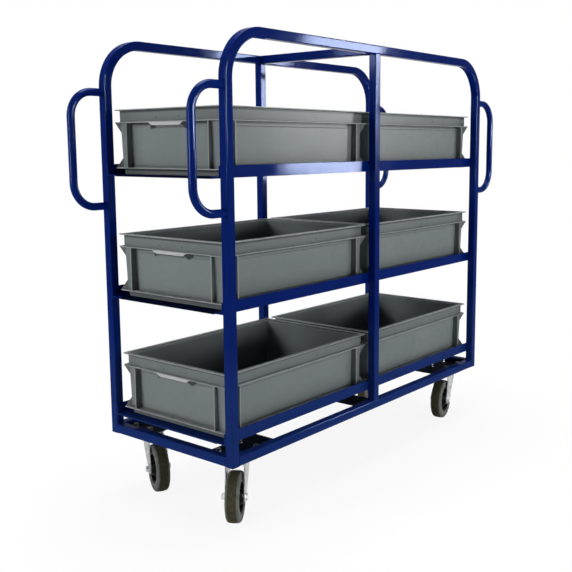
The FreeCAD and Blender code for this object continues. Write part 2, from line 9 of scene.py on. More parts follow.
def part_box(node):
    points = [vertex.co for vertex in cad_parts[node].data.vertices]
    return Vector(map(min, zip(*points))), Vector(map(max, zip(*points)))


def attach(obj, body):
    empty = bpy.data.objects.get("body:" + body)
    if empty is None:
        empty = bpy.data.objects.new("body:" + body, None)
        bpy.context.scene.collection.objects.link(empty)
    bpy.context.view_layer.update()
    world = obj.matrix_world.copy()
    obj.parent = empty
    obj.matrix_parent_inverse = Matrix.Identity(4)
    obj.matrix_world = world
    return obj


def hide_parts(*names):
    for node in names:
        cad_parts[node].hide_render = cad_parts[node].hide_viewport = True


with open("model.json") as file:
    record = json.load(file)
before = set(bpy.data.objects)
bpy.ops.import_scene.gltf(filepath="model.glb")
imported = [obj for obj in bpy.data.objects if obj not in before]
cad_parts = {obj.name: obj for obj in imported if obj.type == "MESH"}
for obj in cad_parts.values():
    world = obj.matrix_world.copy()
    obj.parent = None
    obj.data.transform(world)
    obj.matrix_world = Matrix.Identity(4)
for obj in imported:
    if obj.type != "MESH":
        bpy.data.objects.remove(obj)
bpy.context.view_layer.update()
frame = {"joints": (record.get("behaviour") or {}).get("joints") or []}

# %% [markdown]
# An order picking trolley is a welded cage of square tube on four swivel casters. Three shelves of
# steel angle carry grey stacking containers, and D-shaped handles at both ends steer it. X runs along
# the trolley, Y across it and Z up from the floor. Places and main sizes are measured on the CAD nodes,
# so each piece made here lies where its solid lies.

# %% Measure the frame
def vec(x, y, z):
    return Vector((x, y, z))


def moved(x, y, z):
    return Matrix.Translation((x, y, z))


def turned(angle, axis="Z"):
    return Matrix.Rotation(angle, 4, axis)


def turns(start, stop, steps):
    """Even steps from one angle in degrees to another, in radians."""
    return [radians(start + (stop - start) * i / steps) for i in range(steps + 1)]


MM = 0.001
X, Y, Z = vec(1, 0, 0), vec(0, 1, 0), vec(0, 0, 1)
post_low, post_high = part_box("post_front_left")
TUBE = post_high.x - post_low.x
HALF_LENGTH = -post_low.x
HALF_WIDTH = -post_low.y
BASE_BOTTOM = post_low.z
HOOP_JOINT = post_high.z
FRAME_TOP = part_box("top_hoop_front")[1].z
POST_X = HALF_LENGTH - TUBE / 2
POST_Y = HALF_WIDTH - TUBE / 2
INNER_Y = HALF_WIDTH - TUBE
CORNERS = ("front_left", "front_right", "back_left", "back_right")
SHELVES = ("lower", "middle", "upper")
print("tube", round(TUBE, 4), "posts", round(HALF_LENGTH * 2, 3), "by", round(HALF_WIDTH * 2, 3))

# %% [markdown]
# Finishes come first, because every piece asks for one. Each is a small node tree that reads Object
# coordinates, so a pattern keeps its real scale on every piece. A number that is the same all over a
# surface stays on the shader's own socket, and only what varies is wired.

# %% Helpers for finishes
def wire(tree, node, values):
    """Fills inputs of a node: a socket is linked, and anything else is set as a plain value."""
    for label, value in dict(values).items():
        if isinstance(value, bpy.types.NodeSocket):
            tree.links.new(value, node.inputs[label])
        else:
            node.inputs[label].default_value = value


def add(tree, kind, values=(), out=0, **settings):
    """Adds a node with its settings and inputs, and gives one of its outputs."""
    node = tree.nodes.new(kind)
    for label, value in settings.items():
        setattr(node, label, value)
    wire(tree, node, values)
    return node.outputs[out]


def new_finish(name, roughness, metallic=0.0, specular=0.5):
    """A material with a Principled shader, and its nodes at hand."""
    material = bpy.data.materials.new(name)
    material.use_nodes = True
    tree = material.node_tree
    shader = tree.nodes["Principled BSDF"]
    wire(tree, shader, {"Roughness": roughness, "Metallic": metallic, "Specular IOR Level": specular})
    return material, tree, shader


def speckle(tree, scale, detail=3.0, stretch=None):
    """A noise pattern in Object coordinates; stretch squeezes it along X, Y and Z."""
    source = add(tree, "ShaderNodeTexCoord", out="Object")
    if stretch:
        source = add(tree, "ShaderNodeMapping", {"Scale": stretch, "Vector": source})
    return add(tree, "ShaderNodeTexNoise", {"Scale": scale, "Detail": detail, "Vector": source}, "Fac")


def ramp(tree, factor, stops):
    """A colour ramp with stops of (position, colour)."""
    output = add(tree, "ShaderNodeValToRGB", {"Fac": factor})
    elements = output.node.color_ramp.elements
    while len(elements) < len(stops):
        elements.new(0.5)
    for element, (position, colour) in zip(elements, stops):
        element.position = position
        element.color = (*colour, 1.0)
    return output


def mixed(tree, factor, first, second):
    """Two colours mixed by a factor; each colour is a socket or a plain colour."""
    first, second = [(*c, 1.0) if isinstance(c, tuple) else c for c in (first, second)]
    return add(tree, "ShaderNodeMix", {0: factor, 6: first, 7: second}, 2, data_type="RGBA")


def spread(tree, factor, low, high, start=0.3, stop=0.7):
    """Carries a factor to another range; without a start and stop, from the range where most noise lies."""
    limits = {"From Min": start, "From Max": stop, "To Min": low, "To Max": high}
    return add(tree, "ShaderNodeMapRange", {"Value": factor, **limits})


def near_floor(tree, above, below, most):
    """A factor that grows from 0 at one height over the floor to its most at a lower one."""
    place = add(tree, "ShaderNodeTexCoord", out="Object")
    height = add(tree, "ShaderNodeSeparateXYZ", {"Vector": place}, "Z")
    return spread(tree, height, 0.0, most, above, below)


def maths(tree, operation, *operands):
    """A Math node; each operand is a socket or a number."""
    return add(tree, "ShaderNodeMath", enumerate(operands), operation=operation)


def coat(tree, shader, colour, rough, grain):
    """Wires a finish: its colour, a noise of (scale, detail, low, high) for its roughness, and one of
    (scale, detail, strength, distance) that lifts the surface a little."""
    scale, detail, low, high = rough
    roughness = spread(tree, speckle(tree, scale, detail), low, high)
    scale, detail, strength, distance = grain
    bump = add(tree, "ShaderNodeBump", {
        "Strength": strength, "Distance": distance, "Height": speckle(tree, scale, detail)})
    wire(tree, shader, {"Base Color": colour, "Roughness": roughness, "Normal": bump})


# %% [markdown]
# The frame is powder coated in a deep ultramarine. Sprayed powder melts to a gloss skin that is never
# quite flat, so a fine noise gives it the ripple called orange peel, and a slow one shifts the blue a
# little where the coat is thicker. Dust from the floor pales the lowest rails, so a factor that grows
# towards the floor mixes it in. The end bars, the cross plate and the caster plates lie in shade under
# the containers, and darker, duller copies of the blue paint that shade in: a mild one on the lowest end
# bars, and a nearly black one on the other end bars and the plates.

# %% Blue powder coat
def blue_powder_coat(name, gloss, shine, depth):
    """Blue paint: gloss is its roughness, shine its reflection and depth how much of the blue shows; below 1 it
    is painted shade.
    """
    material, tree, shader = new_finish(name, 0.3)
    wire(tree, shader, {"IOR": 1.05, "Specular Tint": (4.4 * shine, 5.6 * shine, 9.0 * shine, 1.0)})
    deep = tuple(depth * part for part in (0.0001, 0.0092, 0.11))
    clear = tuple(depth * part for part in (0.0003, 0.0114, 0.127))
    thick = ramp(tree, speckle(tree, 6.0), [(0.3, deep), (0.7, clear)])
    dust = spread(tree, speckle(tree, 160.0, 6.0), 0.0, 0.02)
    colour = mixed(tree, dust, thick, (0.01, 0.03, 0.13))
    colour = mixed(tree, near_floor(tree, 0.5, 0.34, 0.05), colour, (0.12, 0.25, 0.33))
    coat(tree, shader, colour, (25.0, 3.0, gloss, gloss + 0.05), (260.0, 2.0, 0.04, 0.0002))
    return material


BLUE = blue_powder_coat("blue_powder_coat", 0.05, 1.0, 1.0)
# darker, duller copies of the same paint: painted shade for the bars and plates in shadow under the containers
DULL_SHADED_BLUE = blue_powder_coat("painted_shade_dull_blue", 0.5, 0.2, 0.8)
DARK_SHADED_BLUE = blue_powder_coat("painted_shade_dark_blue", 0.5, 0.1, 0.12)
print("made", BLUE.name, DULL_SHADED_BLUE.name, DARK_SHADED_BLUE.name)

# %% [markdown]
# The containers are moulded polypropylene: an even mid grey with a satin skin, a fine grain from the
# mould, and faint lengthwise scuffs from sliding in and out of the shelves. Light and shade are painted
# into the grey too: paler lip tops, rib fronts and grip bars, and darker bands under the lips, on the rib
# sides, on the foot, at the wall's base and inside.

# %% Grey moulded plastic
def grey_moulded_plastic():
    """Painted highlights where an attribute of each point is above zero, and painted shade where it is below
    zero.
    """
    material, tree, shader = new_finish("grey_moulded_plastic", 0.3, specular=0.016)
    # the attribute carries painted light: a highlight above zero, shade below it
    edge = add(tree, "ShaderNodeAttribute", out="Fac", attribute_name="edge")
    wear_and_painted_highlight = maths(tree, "MAXIMUM", edge, 0.0)
    painted_shade = maths(tree, "MAXIMUM", maths(tree, "MULTIPLY", edge, -1.0), 0.0)
    flow = ramp(tree, speckle(tree, 5.0), [(0.3, (0.172, 0.195, 0.195)), (0.7, (0.187, 0.210, 0.209))])
    scuff = spread(tree, speckle(tree, 90.0, 6.0, (0.2, 0.2, 1.2)), -0.04, 0.05)
    colour = mixed(tree, scuff, flow, (0.27, 0.285, 0.285))
    colour = mixed(tree, wear_and_painted_highlight, colour, (0.47, 0.49, 0.49))
    colour = mixed(tree, painted_shade, colour, (0.035, 0.042, 0.042))
    coat(tree, shader, colour, (40.0, 5.0, 0.26, 0.3), (900.0, 2.0, 0.1, 0.0002))
    return material


GREY = grey_moulded_plastic()
print("made", GREY.name)

# %% [markdown]
# The axle bolts are bright zinc, and the pressed forks and plates are a duller one. Plating shows patches of
# slightly different shine, so one noise mottles the colour and another the roughness. The fasteners on the
# base plates sit in deep shade under the containers, and a darkened zinc paints that shade in. The hubs are
# black plastic, and the tyres grey rubber.

# %% Zinc plating, black hub plastic and grey tyre rubber
def zinc_plating(name, shades):
    """Zinc plating: shades are the dull, the usual and the bright patches; the darkest set is painted shade."""
    material, tree, shader = new_finish(name, 0.3, metallic=1.0)
    patches = ramp(tree, speckle(tree, 70.0, 4.0), list(zip((0.3, 0.52, 0.72), shades)))
    coat(tree, shader, patches, (110.0, 4.0, 0.22, 0.42), (600.0, 2.0, 0.08, 0.0003))
    return material


def black_hub_plastic():
    material, tree, shader = new_finish("black_hub_plastic", 0.35, specular=0.06)
    shades = [(0.35, (0.0015, 0.0015, 0.0015)), (0.75, (0.006, 0.006, 0.0055))]
    dust = ramp(tree, speckle(tree, 90.0, 6.0), shades)
    coat(tree, shader, dust, (60.0, 3.0, 0.28, 0.5), (700.0, 2.0, 0.1, 0.0002))
    return material


def grey_tyre_rubber():
    """Paler on the side walls and brown with floor dirt on the tread, by the tyre's own attribute."""
    material, tree, shader = new_finish("grey_tyre_rubber", 0.7, specular=0.05)
    tread = add(tree, "ShaderNodeAttribute", out="Fac", attribute_name="tread")
    side = ramp(tree, speckle(tree, 80.0, 5.0), [(0.3, (0.10, 0.104, 0.10)), (0.7, (0.15, 0.153, 0.146))])
    wear_and_painted_highlight = ramp(tree, speckle(tree, 120.0, 6.0), [(0.3, (0.04, 0.037, 0.02)), (0.7, (0.064, 0.058, 0.033))])
    colour = mixed(tree, tread, side, wear_and_painted_highlight)
    coat(tree, shader, colour, (200.0, 4.0, 0.6, 0.85), (500.0, 3.0, 0.2, 0.0004))
    return material


ZINC = zinc_plating("zinc_plating", [(0.5, 0.51, 0.52), (0.6, 0.605, 0.605), (0.72, 0.715, 0.7)])
DULL_ZINC = zinc_plating("dull_zinc_plating", [(0.2, 0.21, 0.22), (0.3, 0.305, 0.31), (0.48, 0.475, 0.465)])
# zinc darkened with painted shade, for the fasteners in shadow under the containers
SHADED_ZINC = zinc_plating("painted_shade_zinc", [(0.03, 0.03, 0.032), (0.06, 0.06, 0.06), (0.3, 0.29, 0.27)])
BLACK = black_hub_plastic()
RUBBER = grey_tyre_rubber()
dict.fromkeys((BLUE, DULL_SHADED_BLUE, DARK_SHADED_BLUE), "frame_paint")
dict.fromkeys((ZINC, DULL_ZINC, SHADED_ZINC), "zinc_steel")
print("made", ZINC.name, BLACK.name, RUBBER.name)

# %% [markdown]
# Almost every piece of this trolley is a loft: a row of rings, each with the same number of points,
# joined by quads. A tube is a ring carried along a path, a container is a rounded rectangle carried
# through a profile, and a wheel is a profile carried round an axle. One helper therefore builds most of
# the meshes, and another one finishes them: shading, material, body and the CAD node they stand for.

# %% Helpers for meshes
EDGE, FINE_EDGE, FORK_EDGE = 0.7 * MM, 0.5 * MM, 0.6 * MM
SHARP_SHADING = 38.0


def loft(rings, closed=False, caps=False, open_rings=False):
    """A bmesh of quads between rings; closed joins the last ring to the first, caps close the ends, and
    open_rings leaves out the quad from a ring's last point to its first."""
    bm = bmesh.new()
    rows = [[bm.verts.new(point) for point in ring] for ring in rings]
    pairs = list(zip(rows, rows[1:])) + ([(rows[-1], rows[0])] if closed else [])
    for first, second in pairs:
        for i in range(len(first) - (1 if open_rings else 0)):
            j = (i + 1) % len(first)
            bm.faces.new((first[i], first[j], second[j], second[i]))
    if caps:
        bm.faces.new(list(reversed(rows[0])))
        bm.faces.new(rows[-1])
    bmesh.ops.recalc_face_normals(bm, faces=bm.faces)
    return bm


def prism(outline, along):
    """A solid bar: an outline pushed along a vector."""
    return loft([outline, [point + along for point in outline]], caps=True)


def soften(bm, width, angle=35.0):
    """Rounds every edge that is sharper than an angle, because no real edge is a knife."""
    sharp = radians(angle)
    edges = [e for e in bm.edges if len(e.link_faces) == 2 and e.calc_face_angle(0.0) > sharp]
    bmesh.ops.bevel(bm, geom=edges, offset=width, segments=2, profile=0.5, affect="EDGES", clamp_overlap=True)
    return bm


def mesh_of(bm, name):
    mesh = bpy.data.meshes.new(name)
    bm.to_mesh(mesh)
    bm.free()
    return mesh


def bmesh_of(mesh):
    """A bmesh of a mesh, which goes."""
    bm = bmesh.new()
    bm.from_mesh(mesh)
    bpy.data.meshes.remove(mesh)
    return bm


def joined(*parts):
    """One bmesh that holds several."""
    whole = bmesh.new()
    for part in parts:
        mesh = mesh_of(part, "part")
        whole.from_mesh(mesh)
        bpy.data.meshes.remove(mesh)
    return whole


def placed(bm, matrix):
    bmesh.ops.transform(bm, matrix=matrix, verts=bm.verts)
    return bm


def in_scene(name, data):
    thing = bpy.data.objects.new(name, data)
    bpy.context.scene.collection.objects.link(thing)
    return thing


def worked_out(host):
    """The mesh that an object's modifiers make of it; the object goes."""
    graph = bpy.context.evaluated_depsgraph_get()
    mesh = bpy.data.meshes.new_from_object(host.evaluated_get(graph))
    bpy.data.objects.remove(host)
    return mesh


def even_shading(mesh):
    """Smooth shading in which large faces stay flat and only the small rounds between them curve."""
    mesh.polygons.foreach_set("use_smooth", [True] * len(mesh.polygons))
    mesh.set_sharp_from_angle(angle=radians(SHARP_SHADING))
    host = in_scene("host", mesh)
    modifier = host.modifiers.new("by_area", "WEIGHTED_NORMAL")
    modifier.keep_sharp = True
    modifier.weight = 100
    result = worked_out(host)
    bpy.data.meshes.remove(mesh)
    return result


def finish_piece(name, mesh, material, body, nodes=()):
    """Links a mesh as a piece of the trolley, smooth where it is round and sharp at its edges."""
    if isinstance(mesh, bmesh.types.BMesh):
        mesh = mesh_of(mesh, name)
    mesh = even_shading(mesh)
    mesh.name = name
    mesh.materials.clear()
    mesh.materials.append(material)
    piece = in_scene(name, mesh)
    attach(piece, body)
    if nodes:
        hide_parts(*nodes)
    return piece


def frame_piece(node, mesh, material=BLUE):
    """A painted piece of the frame, named after the CAD node it stands for."""
    return finish_piece("blue_" + node, mesh, material, "frame", [node])


# %% [markdown]
# The uprights and rails are cold-formed square tube, so their edges are rounded and their ends open.
# Each tube is one closed skin: outside ring to outside ring, over the cut end, and back along the bore.
# The rounded edges matter most here, because they catch the thin white lines of light that make the
# paint look glossy.

# %% Square tubes
TUBE_RADIUS = 3 * MM
TUBE_WALL = 2 * MM


def rounded(length, width, radius, steps):
    """Points round a rectangle with round corners, as pairs."""
    points = []
    for quarter, (sx, sy) in enumerate(((1, 1), (-1, 1), (-1, -1), (1, -1))):
        for step in range(steps + 1):
            angle = radians(90 * (quarter + step / steps))
            points.append((sx * (length / 2 - radius) + radius * cos(angle),
                           sy * (width / 2 - radius) + radius * sin(angle)))
    return points


BORE_SIZE = TUBE - 2 * TUBE_WALL
OUTER = rounded(TUBE, TUBE, TUBE_RADIUS, 5)
BORE = rounded(BORE_SIZE, BORE_SIZE, TUBE_RADIUS - TUBE_WALL, 5)


def tube_skin(path, outer=OUTER, bore=BORE):
    """A hollow tube; path is a list of (centre, first axis, second axis)."""
    outside = [[c + u * a + v * b for a, b in outer] for c, u, v in path]
    inside = [[c + u * a + v * b for a, b in bore] for c, u, v in path]
    return loft(outside + inside[::-1], closed=True)


def straight_tube(node):
    """Stands for a straight CAD tube: its longest side gives the direction."""
    low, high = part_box(node)
    size = high - low
    axis = max(range(3), key=lambda i: size[i])
    along, u = (X, Y, Z)[axis], Y if axis == 0 else X
    ends = [(low + high) / 2 + along * size[axis] * share for share in (-0.5, 0.5)]
    return frame_piece(node, tube_skin([(end, u, along.cross(u)) for end in ends]))


straight = ["post_" + y + "_" + x for y in ("front", "back") for x in ("left", "middle", "right")]
straight += ["base_rail_" + side for side in ("front", "back", "left", "right")] + ["top_cross_bar"]
tubes = [straight_tube(node) for node in straight]
print("made", len(tubes), "straight tubes")

# %% [markdown]
# The two top hoops are the same tube, bent cold over a former at both ends. Carrying the rounded square
# along a path of two quarter circles keeps the tube's width through the bend, which scaling or
# bending a finished mesh would not.

# %% Top hoops
def arc(centre, radius, start, stop, steps):
    """Points of an arc in the XZ plane, with the direction from the centre to each and the one across."""
    outs = [vec(cos(angle), 0, sin(angle)) for angle in turns(start, stop, steps)]
    return [(centre + out * radius, out, Y) for out in outs]


HOOP_BEND = FRAME_TOP - HOOP_JOINT - TUBE / 2


def top_hoop(side, y):
    """A bend at each end, and the straight run that the loft makes between them."""
    bend_x = POST_X - HOOP_BEND
    left = arc(vec(-bend_x, y, HOOP_JOINT), HOOP_BEND, 180, 90, 24)
    right = arc(vec(bend_x, y, HOOP_JOINT), HOOP_BEND, 90, 0, 24)
    return frame_piece("top_hoop_" + side, tube_skin(left + right))


hoops = [top_hoop("front", -POST_Y), top_hoop("back", POST_Y)]
print("made", len(hoops), "hoops with a bend radius of", round(HOOP_BEND, 4))

# %% [markdown]
# The handles are round tube bent to a D and welded to the end posts. They are lofted like the hoops,
# with a circle instead of a square.

# %% Handles
HANDLE_BEND = 65 * MM
HANDLE_WALL = 2 * MM


def circle(radius, steps=20):
    """Points round a circle, as pairs."""
    angles = [tau * i / steps for i in range(steps)]
    return [(radius * cos(angle), radius * sin(angle)) for angle in angles]


def handle(corner):
    """A handle that stands out towards +X, mirrored at the left end."""
    node = "handle_" + corner
    low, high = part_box(node)
    radius = (high.y - low.y) / 2
    reach = high.x - low.x - radius
    y = (low.y + high.y) / 2
    top, bottom = high.z - radius, low.z + radius
    bend_x = HALF_LENGTH + reach - HANDLE_BEND
    path = [(vec(HALF_LENGTH, y, top), Z, Y)]
    path += arc(vec(bend_x, y, top - HANDLE_BEND), HANDLE_BEND, 90, 0, 16)
    path += arc(vec(bend_x, y, bottom + HANDLE_BEND), HANDLE_BEND, 0, -90, 16)
    path += [(vec(HALF_LENGTH, y, bottom), -Z, Y)]
    skin = tube_skin(path, circle(radius), circle(radius - HANDLE_WALL))
    if "left" in corner:
        placed(skin, Matrix.Scale(-1, 4, X))
        bmesh.ops.recalc_face_normals(skin, faces=skin.faces)
    return frame_piece(node, skin)


handles = [handle(corner) for corner in CORNERS]
print("made", len(handles), "handles")

# %% [markdown]
# A shelf is two hot-rolled steel angles and a flat bar across each end. Rolled angle has a rounded root
# and rounded toes, so its outline is drawn with those arcs and pushed along the trolley.

# %% Shelf rails and end bars
THICK, ROOT, TOE, HEEL = 3 * MM, 3 * MM, 1.2 * MM, 0.4 * MM
END_BAR = 50 * MM


def corner_arc(y, z, radius, start, stop, steps=4):
    """Points of a small arc in the YZ plane."""
    return [vec(0, y, z) + vec(0, cos(t), sin(t)) * radius for t in turns(start, stop, steps)]


def angle_outline(leg):
    """The outline of a rolled angle with its heel at the origin."""
    return (corner_arc(HEEL, HEEL, HEEL, 270, 180, 2) + [Z * leg]
            + corner_arc(THICK - TOE, leg - TOE, TOE, 90, 0)
            + corner_arc(THICK + ROOT, THICK + ROOT, ROOT, 180, 270)
            + corner_arc(leg - TOE, THICK - TOE, TOE, 90, 0) + [Y * leg])


def shelf_rail(node):
    low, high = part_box(node)
    bar = prism(angle_outline(high.z - low.z), X * (high.x - low.x))
    place = moved(*low)
    if "back" in node:
        place = moved(high.x, high.y, low.z) @ turned(pi)
    return frame_piece(node, placed(bar, place))


def flat_bar(low, high):
    """A flat steel bar between two corners, with its edges broken."""
    corners = ((low.y, low.z), (high.y, low.z), (high.y, high.z), (low.y, high.z))
    return soften(prism([vec(low.x, y, z) for y, z in corners], X * (high.x - low.x)), EDGE)


for shelf in SHELVES:
    for side in ("front", "back"):
        shelf_rail("shelf_rail_" + shelf + "_" + side)
    node = "shelf_end_bars_" + shelf
    low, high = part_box(node)
    bars = joined(flat_bar(low, vec(low.x + END_BAR, high.y, high.z)),
                  flat_bar(vec(high.x - END_BAR, low.y, low.z), high))
    # painted shade: the upper and middle end bars get the nearly black copy, the lowest the milder one
    frame_piece(node, bars, DULL_SHADED_BLUE if shelf == "lower" else DARK_SHADED_BLUE)
print("made", len(SHELVES), "shelves")

# %% [markdown]
# Under the containers a flat cross plate ties the base together, and four plates in its corners carry
# the casters.

# %% Base plates
# painted shade: the cross plate and the caster plates get the nearly black copy of the blue
frame_piece("base_cross_plate", flat_bar(*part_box("base_cross_plate")), DARK_SHADED_BLUE)
low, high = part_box("caster_mount_plates")
PLATE_LENGTH, PLATE_WIDTH = 185 * MM, 100 * MM
plates = []
for x in (low.x, high.x - PLATE_LENGTH):
    for y in (low.y, high.y - PLATE_WIDTH):
        plates.append(flat_bar(vec(x, y, low.z), vec(x + PLATE_LENGTH, y + PLATE_WIDTH, high.z)))
frame_piece("caster_mount_plates", joined(*plates), DARK_SHADED_BLUE)
print("made the cross plate and", len(plates), "mounting plates")

# %% [markdown]
# The frame is welded, and a weld under paint still shows as a rippled bead. Laying hundreds of ripples
# by hand would be dull work, and they follow a rule: a round bead along a seam whose thickness swells
# and shrinks with the length. That is a job for Geometry Nodes. The tree takes seams drawn as bare
# edges, turns them to curves, and sweeps a circle whose radius follows a sine and a little noise.

# %% A Geometry Nodes tree for weld beads
def new_tree(name, sizes):
    """A tree with a geometry input and output, named inputs and a material input, and its input sockets."""
    tree = bpy.data.node_groups.new(name, "GeometryNodeTree")
    tree.is_modifier = True
    socket = tree.interface.new_socket
    socket("Geometry", in_out="INPUT", socket_type="NodeSocketGeometry")
    socket("Geometry", in_out="OUTPUT", socket_type="NodeSocketGeometry")
    for label, value in sizes.items():
        kind = "NodeSocketInt" if isinstance(value, int) else "NodeSocketFloat"
        socket(label, in_out="INPUT", socket_type=kind).default_value = value
    socket("Material", in_out="INPUT", socket_type="NodeSocketMaterial")
    return tree, tree.nodes.new("NodeGroupInput").outputs


def end_tree(tree, entry, source):
    """Every tree ends in Realize Instances and Set Material."""
    solid = add(tree, "GeometryNodeRealizeInstances", {"Geometry": source})
    paint = add(tree, "GeometryNodeSetMaterial", {"Geometry": solid, "Material": entry["Material"]})
    wire(tree, tree.nodes.new("NodeGroupOutput"), {"Geometry": paint})
    return tree


LEAST_SWELL, NOISE_SWELL, NOISE_SCALE = 0.7, 0.6, 160.0


def weld_tree():
    """Beads along seams; their swell is a share of the bead's radius."""
    tree, entry = new_tree("weld_bead", {
        "Bead Radius": 1.8 * MM, "Ripple Length": 2.4 * MM, "Ripple Share": 0.16, "Seed": 7})
    step = maths(tree, "DIVIDE", entry["Ripple Length"], 4.0)
    curve = add(tree, "GeometryNodeMeshToCurve", {"Mesh": entry["Geometry"]})
    fine = add(tree, "GeometryNodeResampleCurve", {"Curve": curve, "Length": step}, mode="LENGTH")
    along = add(tree, "GeometryNodeSplineParameter", out="Length")
    phase = maths(tree, "DIVIDE", along, entry["Ripple Length"])
    wave = maths(tree, "SINE", maths(tree, "MULTIPLY", phase, tau))
    ripple = maths(tree, "ADD", maths(tree, "MULTIPLY", wave, entry["Ripple Share"]), LEAST_SWELL)
    places = {"W": entry["Seed"], "Scale": NOISE_SCALE}
    noise = add(tree, "ShaderNodeTexNoise", places, "Fac", noise_dimensions="4D")
    swell = maths(tree, "ADD", ripple, maths(tree, "MULTIPLY", noise, NOISE_SWELL))
    thick = add(tree, "GeometryNodeSetCurveRadius", {"Curve": fine, "Radius": swell})
    ring = add(tree, "GeometryNodeCurvePrimitiveCircle", {"Resolution": 8, "Radius": entry["Bead Radius"]})
    sweep = {"Curve": thick, "Profile Curve": ring, "Scale": swell, "Fill Caps": True}
    return end_tree(tree, entry, add(tree, "GeometryNodeCurveToMesh", sweep))


def grow(tree, mesh, material, **inputs):
    """Runs a tree on a mesh and gives the result as a plain mesh."""
    host = in_scene("host", mesh)
    modifier = host.modifiers.new("nodes", "NODES")
    modifier.node_group = tree
    inputs["Material"] = material
    for socket in tree.interface.items_tree:
        if socket.in_out == "INPUT" and socket.name in inputs:
            modifier[socket.identifier] = inputs[socket.name]
    return worked_out(host)


WELD = weld_tree()
print("made the tree", WELD.name)

# %% [markdown]
# The seams themselves are where one piece of the frame meets another: round the ends of the base rails, of
# the middle posts, of the top cross bar and of the handles, and up the sides of the posts where the shelf
# angles lie against them.

# %% Lay the welds
FLUSH, SEAM_GAP, SEAM_INSET = 0.95, 0.5 * MM, 0.8 * MM
seams = []


def square_seam(centre, u, v, ground):
    """A seam round a square tube that leaves out the side ground flush, which faces along a vector."""
    spots = [u * a + v * b for a, b in rounded(TUBE, TUBE, TUBE_RADIUS, 3)]
    bare = [spot.dot(ground) > TUBE / 2 - FLUSH * TUBE_RADIUS for spot in spots]
    first = next(i for i in range(len(spots)) if bare[i - 1] and not bare[i])
    order = [(first + i) % len(spots) for i in range(len(spots))]
    seams.append(([centre + spots[i] for i in order if not bare[i]], False))


BASE_MIDDLE = BASE_BOTTOM + TUBE / 2
for sy in (-1, 1):
    for sx in (-1, 1):
        square_seam(vec(sx * (HALF_LENGTH - TUBE), sy * POST_Y, BASE_MIDDLE), Y, Z, Y * sy)
        square_seam(vec(sx * POST_X, sy * (INNER_Y - SEAM_GAP), BASE_MIDDLE), X, Z, X * sx)
    square_seam(vec(0, sy * POST_Y, BASE_BOTTOM + TUBE), X, Y, Y * sy)
    square_seam(vec(0, sy * POST_Y, FRAME_TOP - TUBE), X, Y, Y * sy)
    square_seam(vec(0, sy * INNER_Y, FRAME_TOP - TUBE / 2), X, Z, Z)
for corner in CORNERS:
    low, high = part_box("handle_" + corner)
    radius = (high.y - low.y) / 2
    x = HALF_LENGTH if "right" in corner else -HALF_LENGTH
    for z in (low.z + radius, high.z - radius):
        spot = vec(x, (low.y + high.y) / 2, z)
        seams.append(([spot + Y * a + Z * b for a, b in circle(radius - SEAM_INSET, 24)], True))
for shelf in SHELVES:
    low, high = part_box("shelf_rail_" + shelf + "_front")
    for sy in (-1, 1):
        for x in (-HALF_LENGTH + TUBE, -TUBE / 2, TUBE / 2, HALF_LENGTH - TUBE):
            foot = vec(x, sy * INNER_Y, low.z)
            seams.append(([foot, foot + Z * (high.z - low.z)], False))


def seam_mesh(lines):
    """A mesh of bare edges along lines of points, each open or a ring."""
    verts, edges = [], []
    for points, ring in lines:
        first = len(verts)
        verts += points
        edges += [(first + i, first + i + 1) for i in range(len(points) - 1)]
        if ring:
            edges.append((len(verts) - 1, first))
    mesh = bpy.data.meshes.new("seams")
    mesh.from_pydata(verts, edges, [])
    return mesh


welds = finish_piece("weld_beads", grow(WELD, seam_mesh(seams), BLUE), BLUE, "frame")
print("laid", len(seams), "seams with", len(welds.data.polygons), "faces")

# %% [markdown]
# A stacking container is one moulding: foot, base flange, wall with a little draft, a band between two
# lips, and inside it a ledge that the next container's foot would rest on. All of it is one rounded
# rectangle carried through a profile of inset, height and corner radius, so the loft makes it in one
# piece, with a small round at every change of direction. A fourth number paints light there: a
# highlight above zero, shade below it.

# %% Container shell
low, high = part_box("container_lower_left")
BOX_LENGTH, BOX_WIDTH, BOX_HEIGHT = high - low
LIP_BOTTOM, FLANGE_TOP = 134.0, 18.0


def wall_inset(z, at_lip=18.0):
    """How far the leaning wall is drawn in at a height, from its inset at the lower lip."""
    return at_lip + 3.0 * (LIP_BOTTOM - z) / (LIP_BOTTOM - FLANGE_TOP)


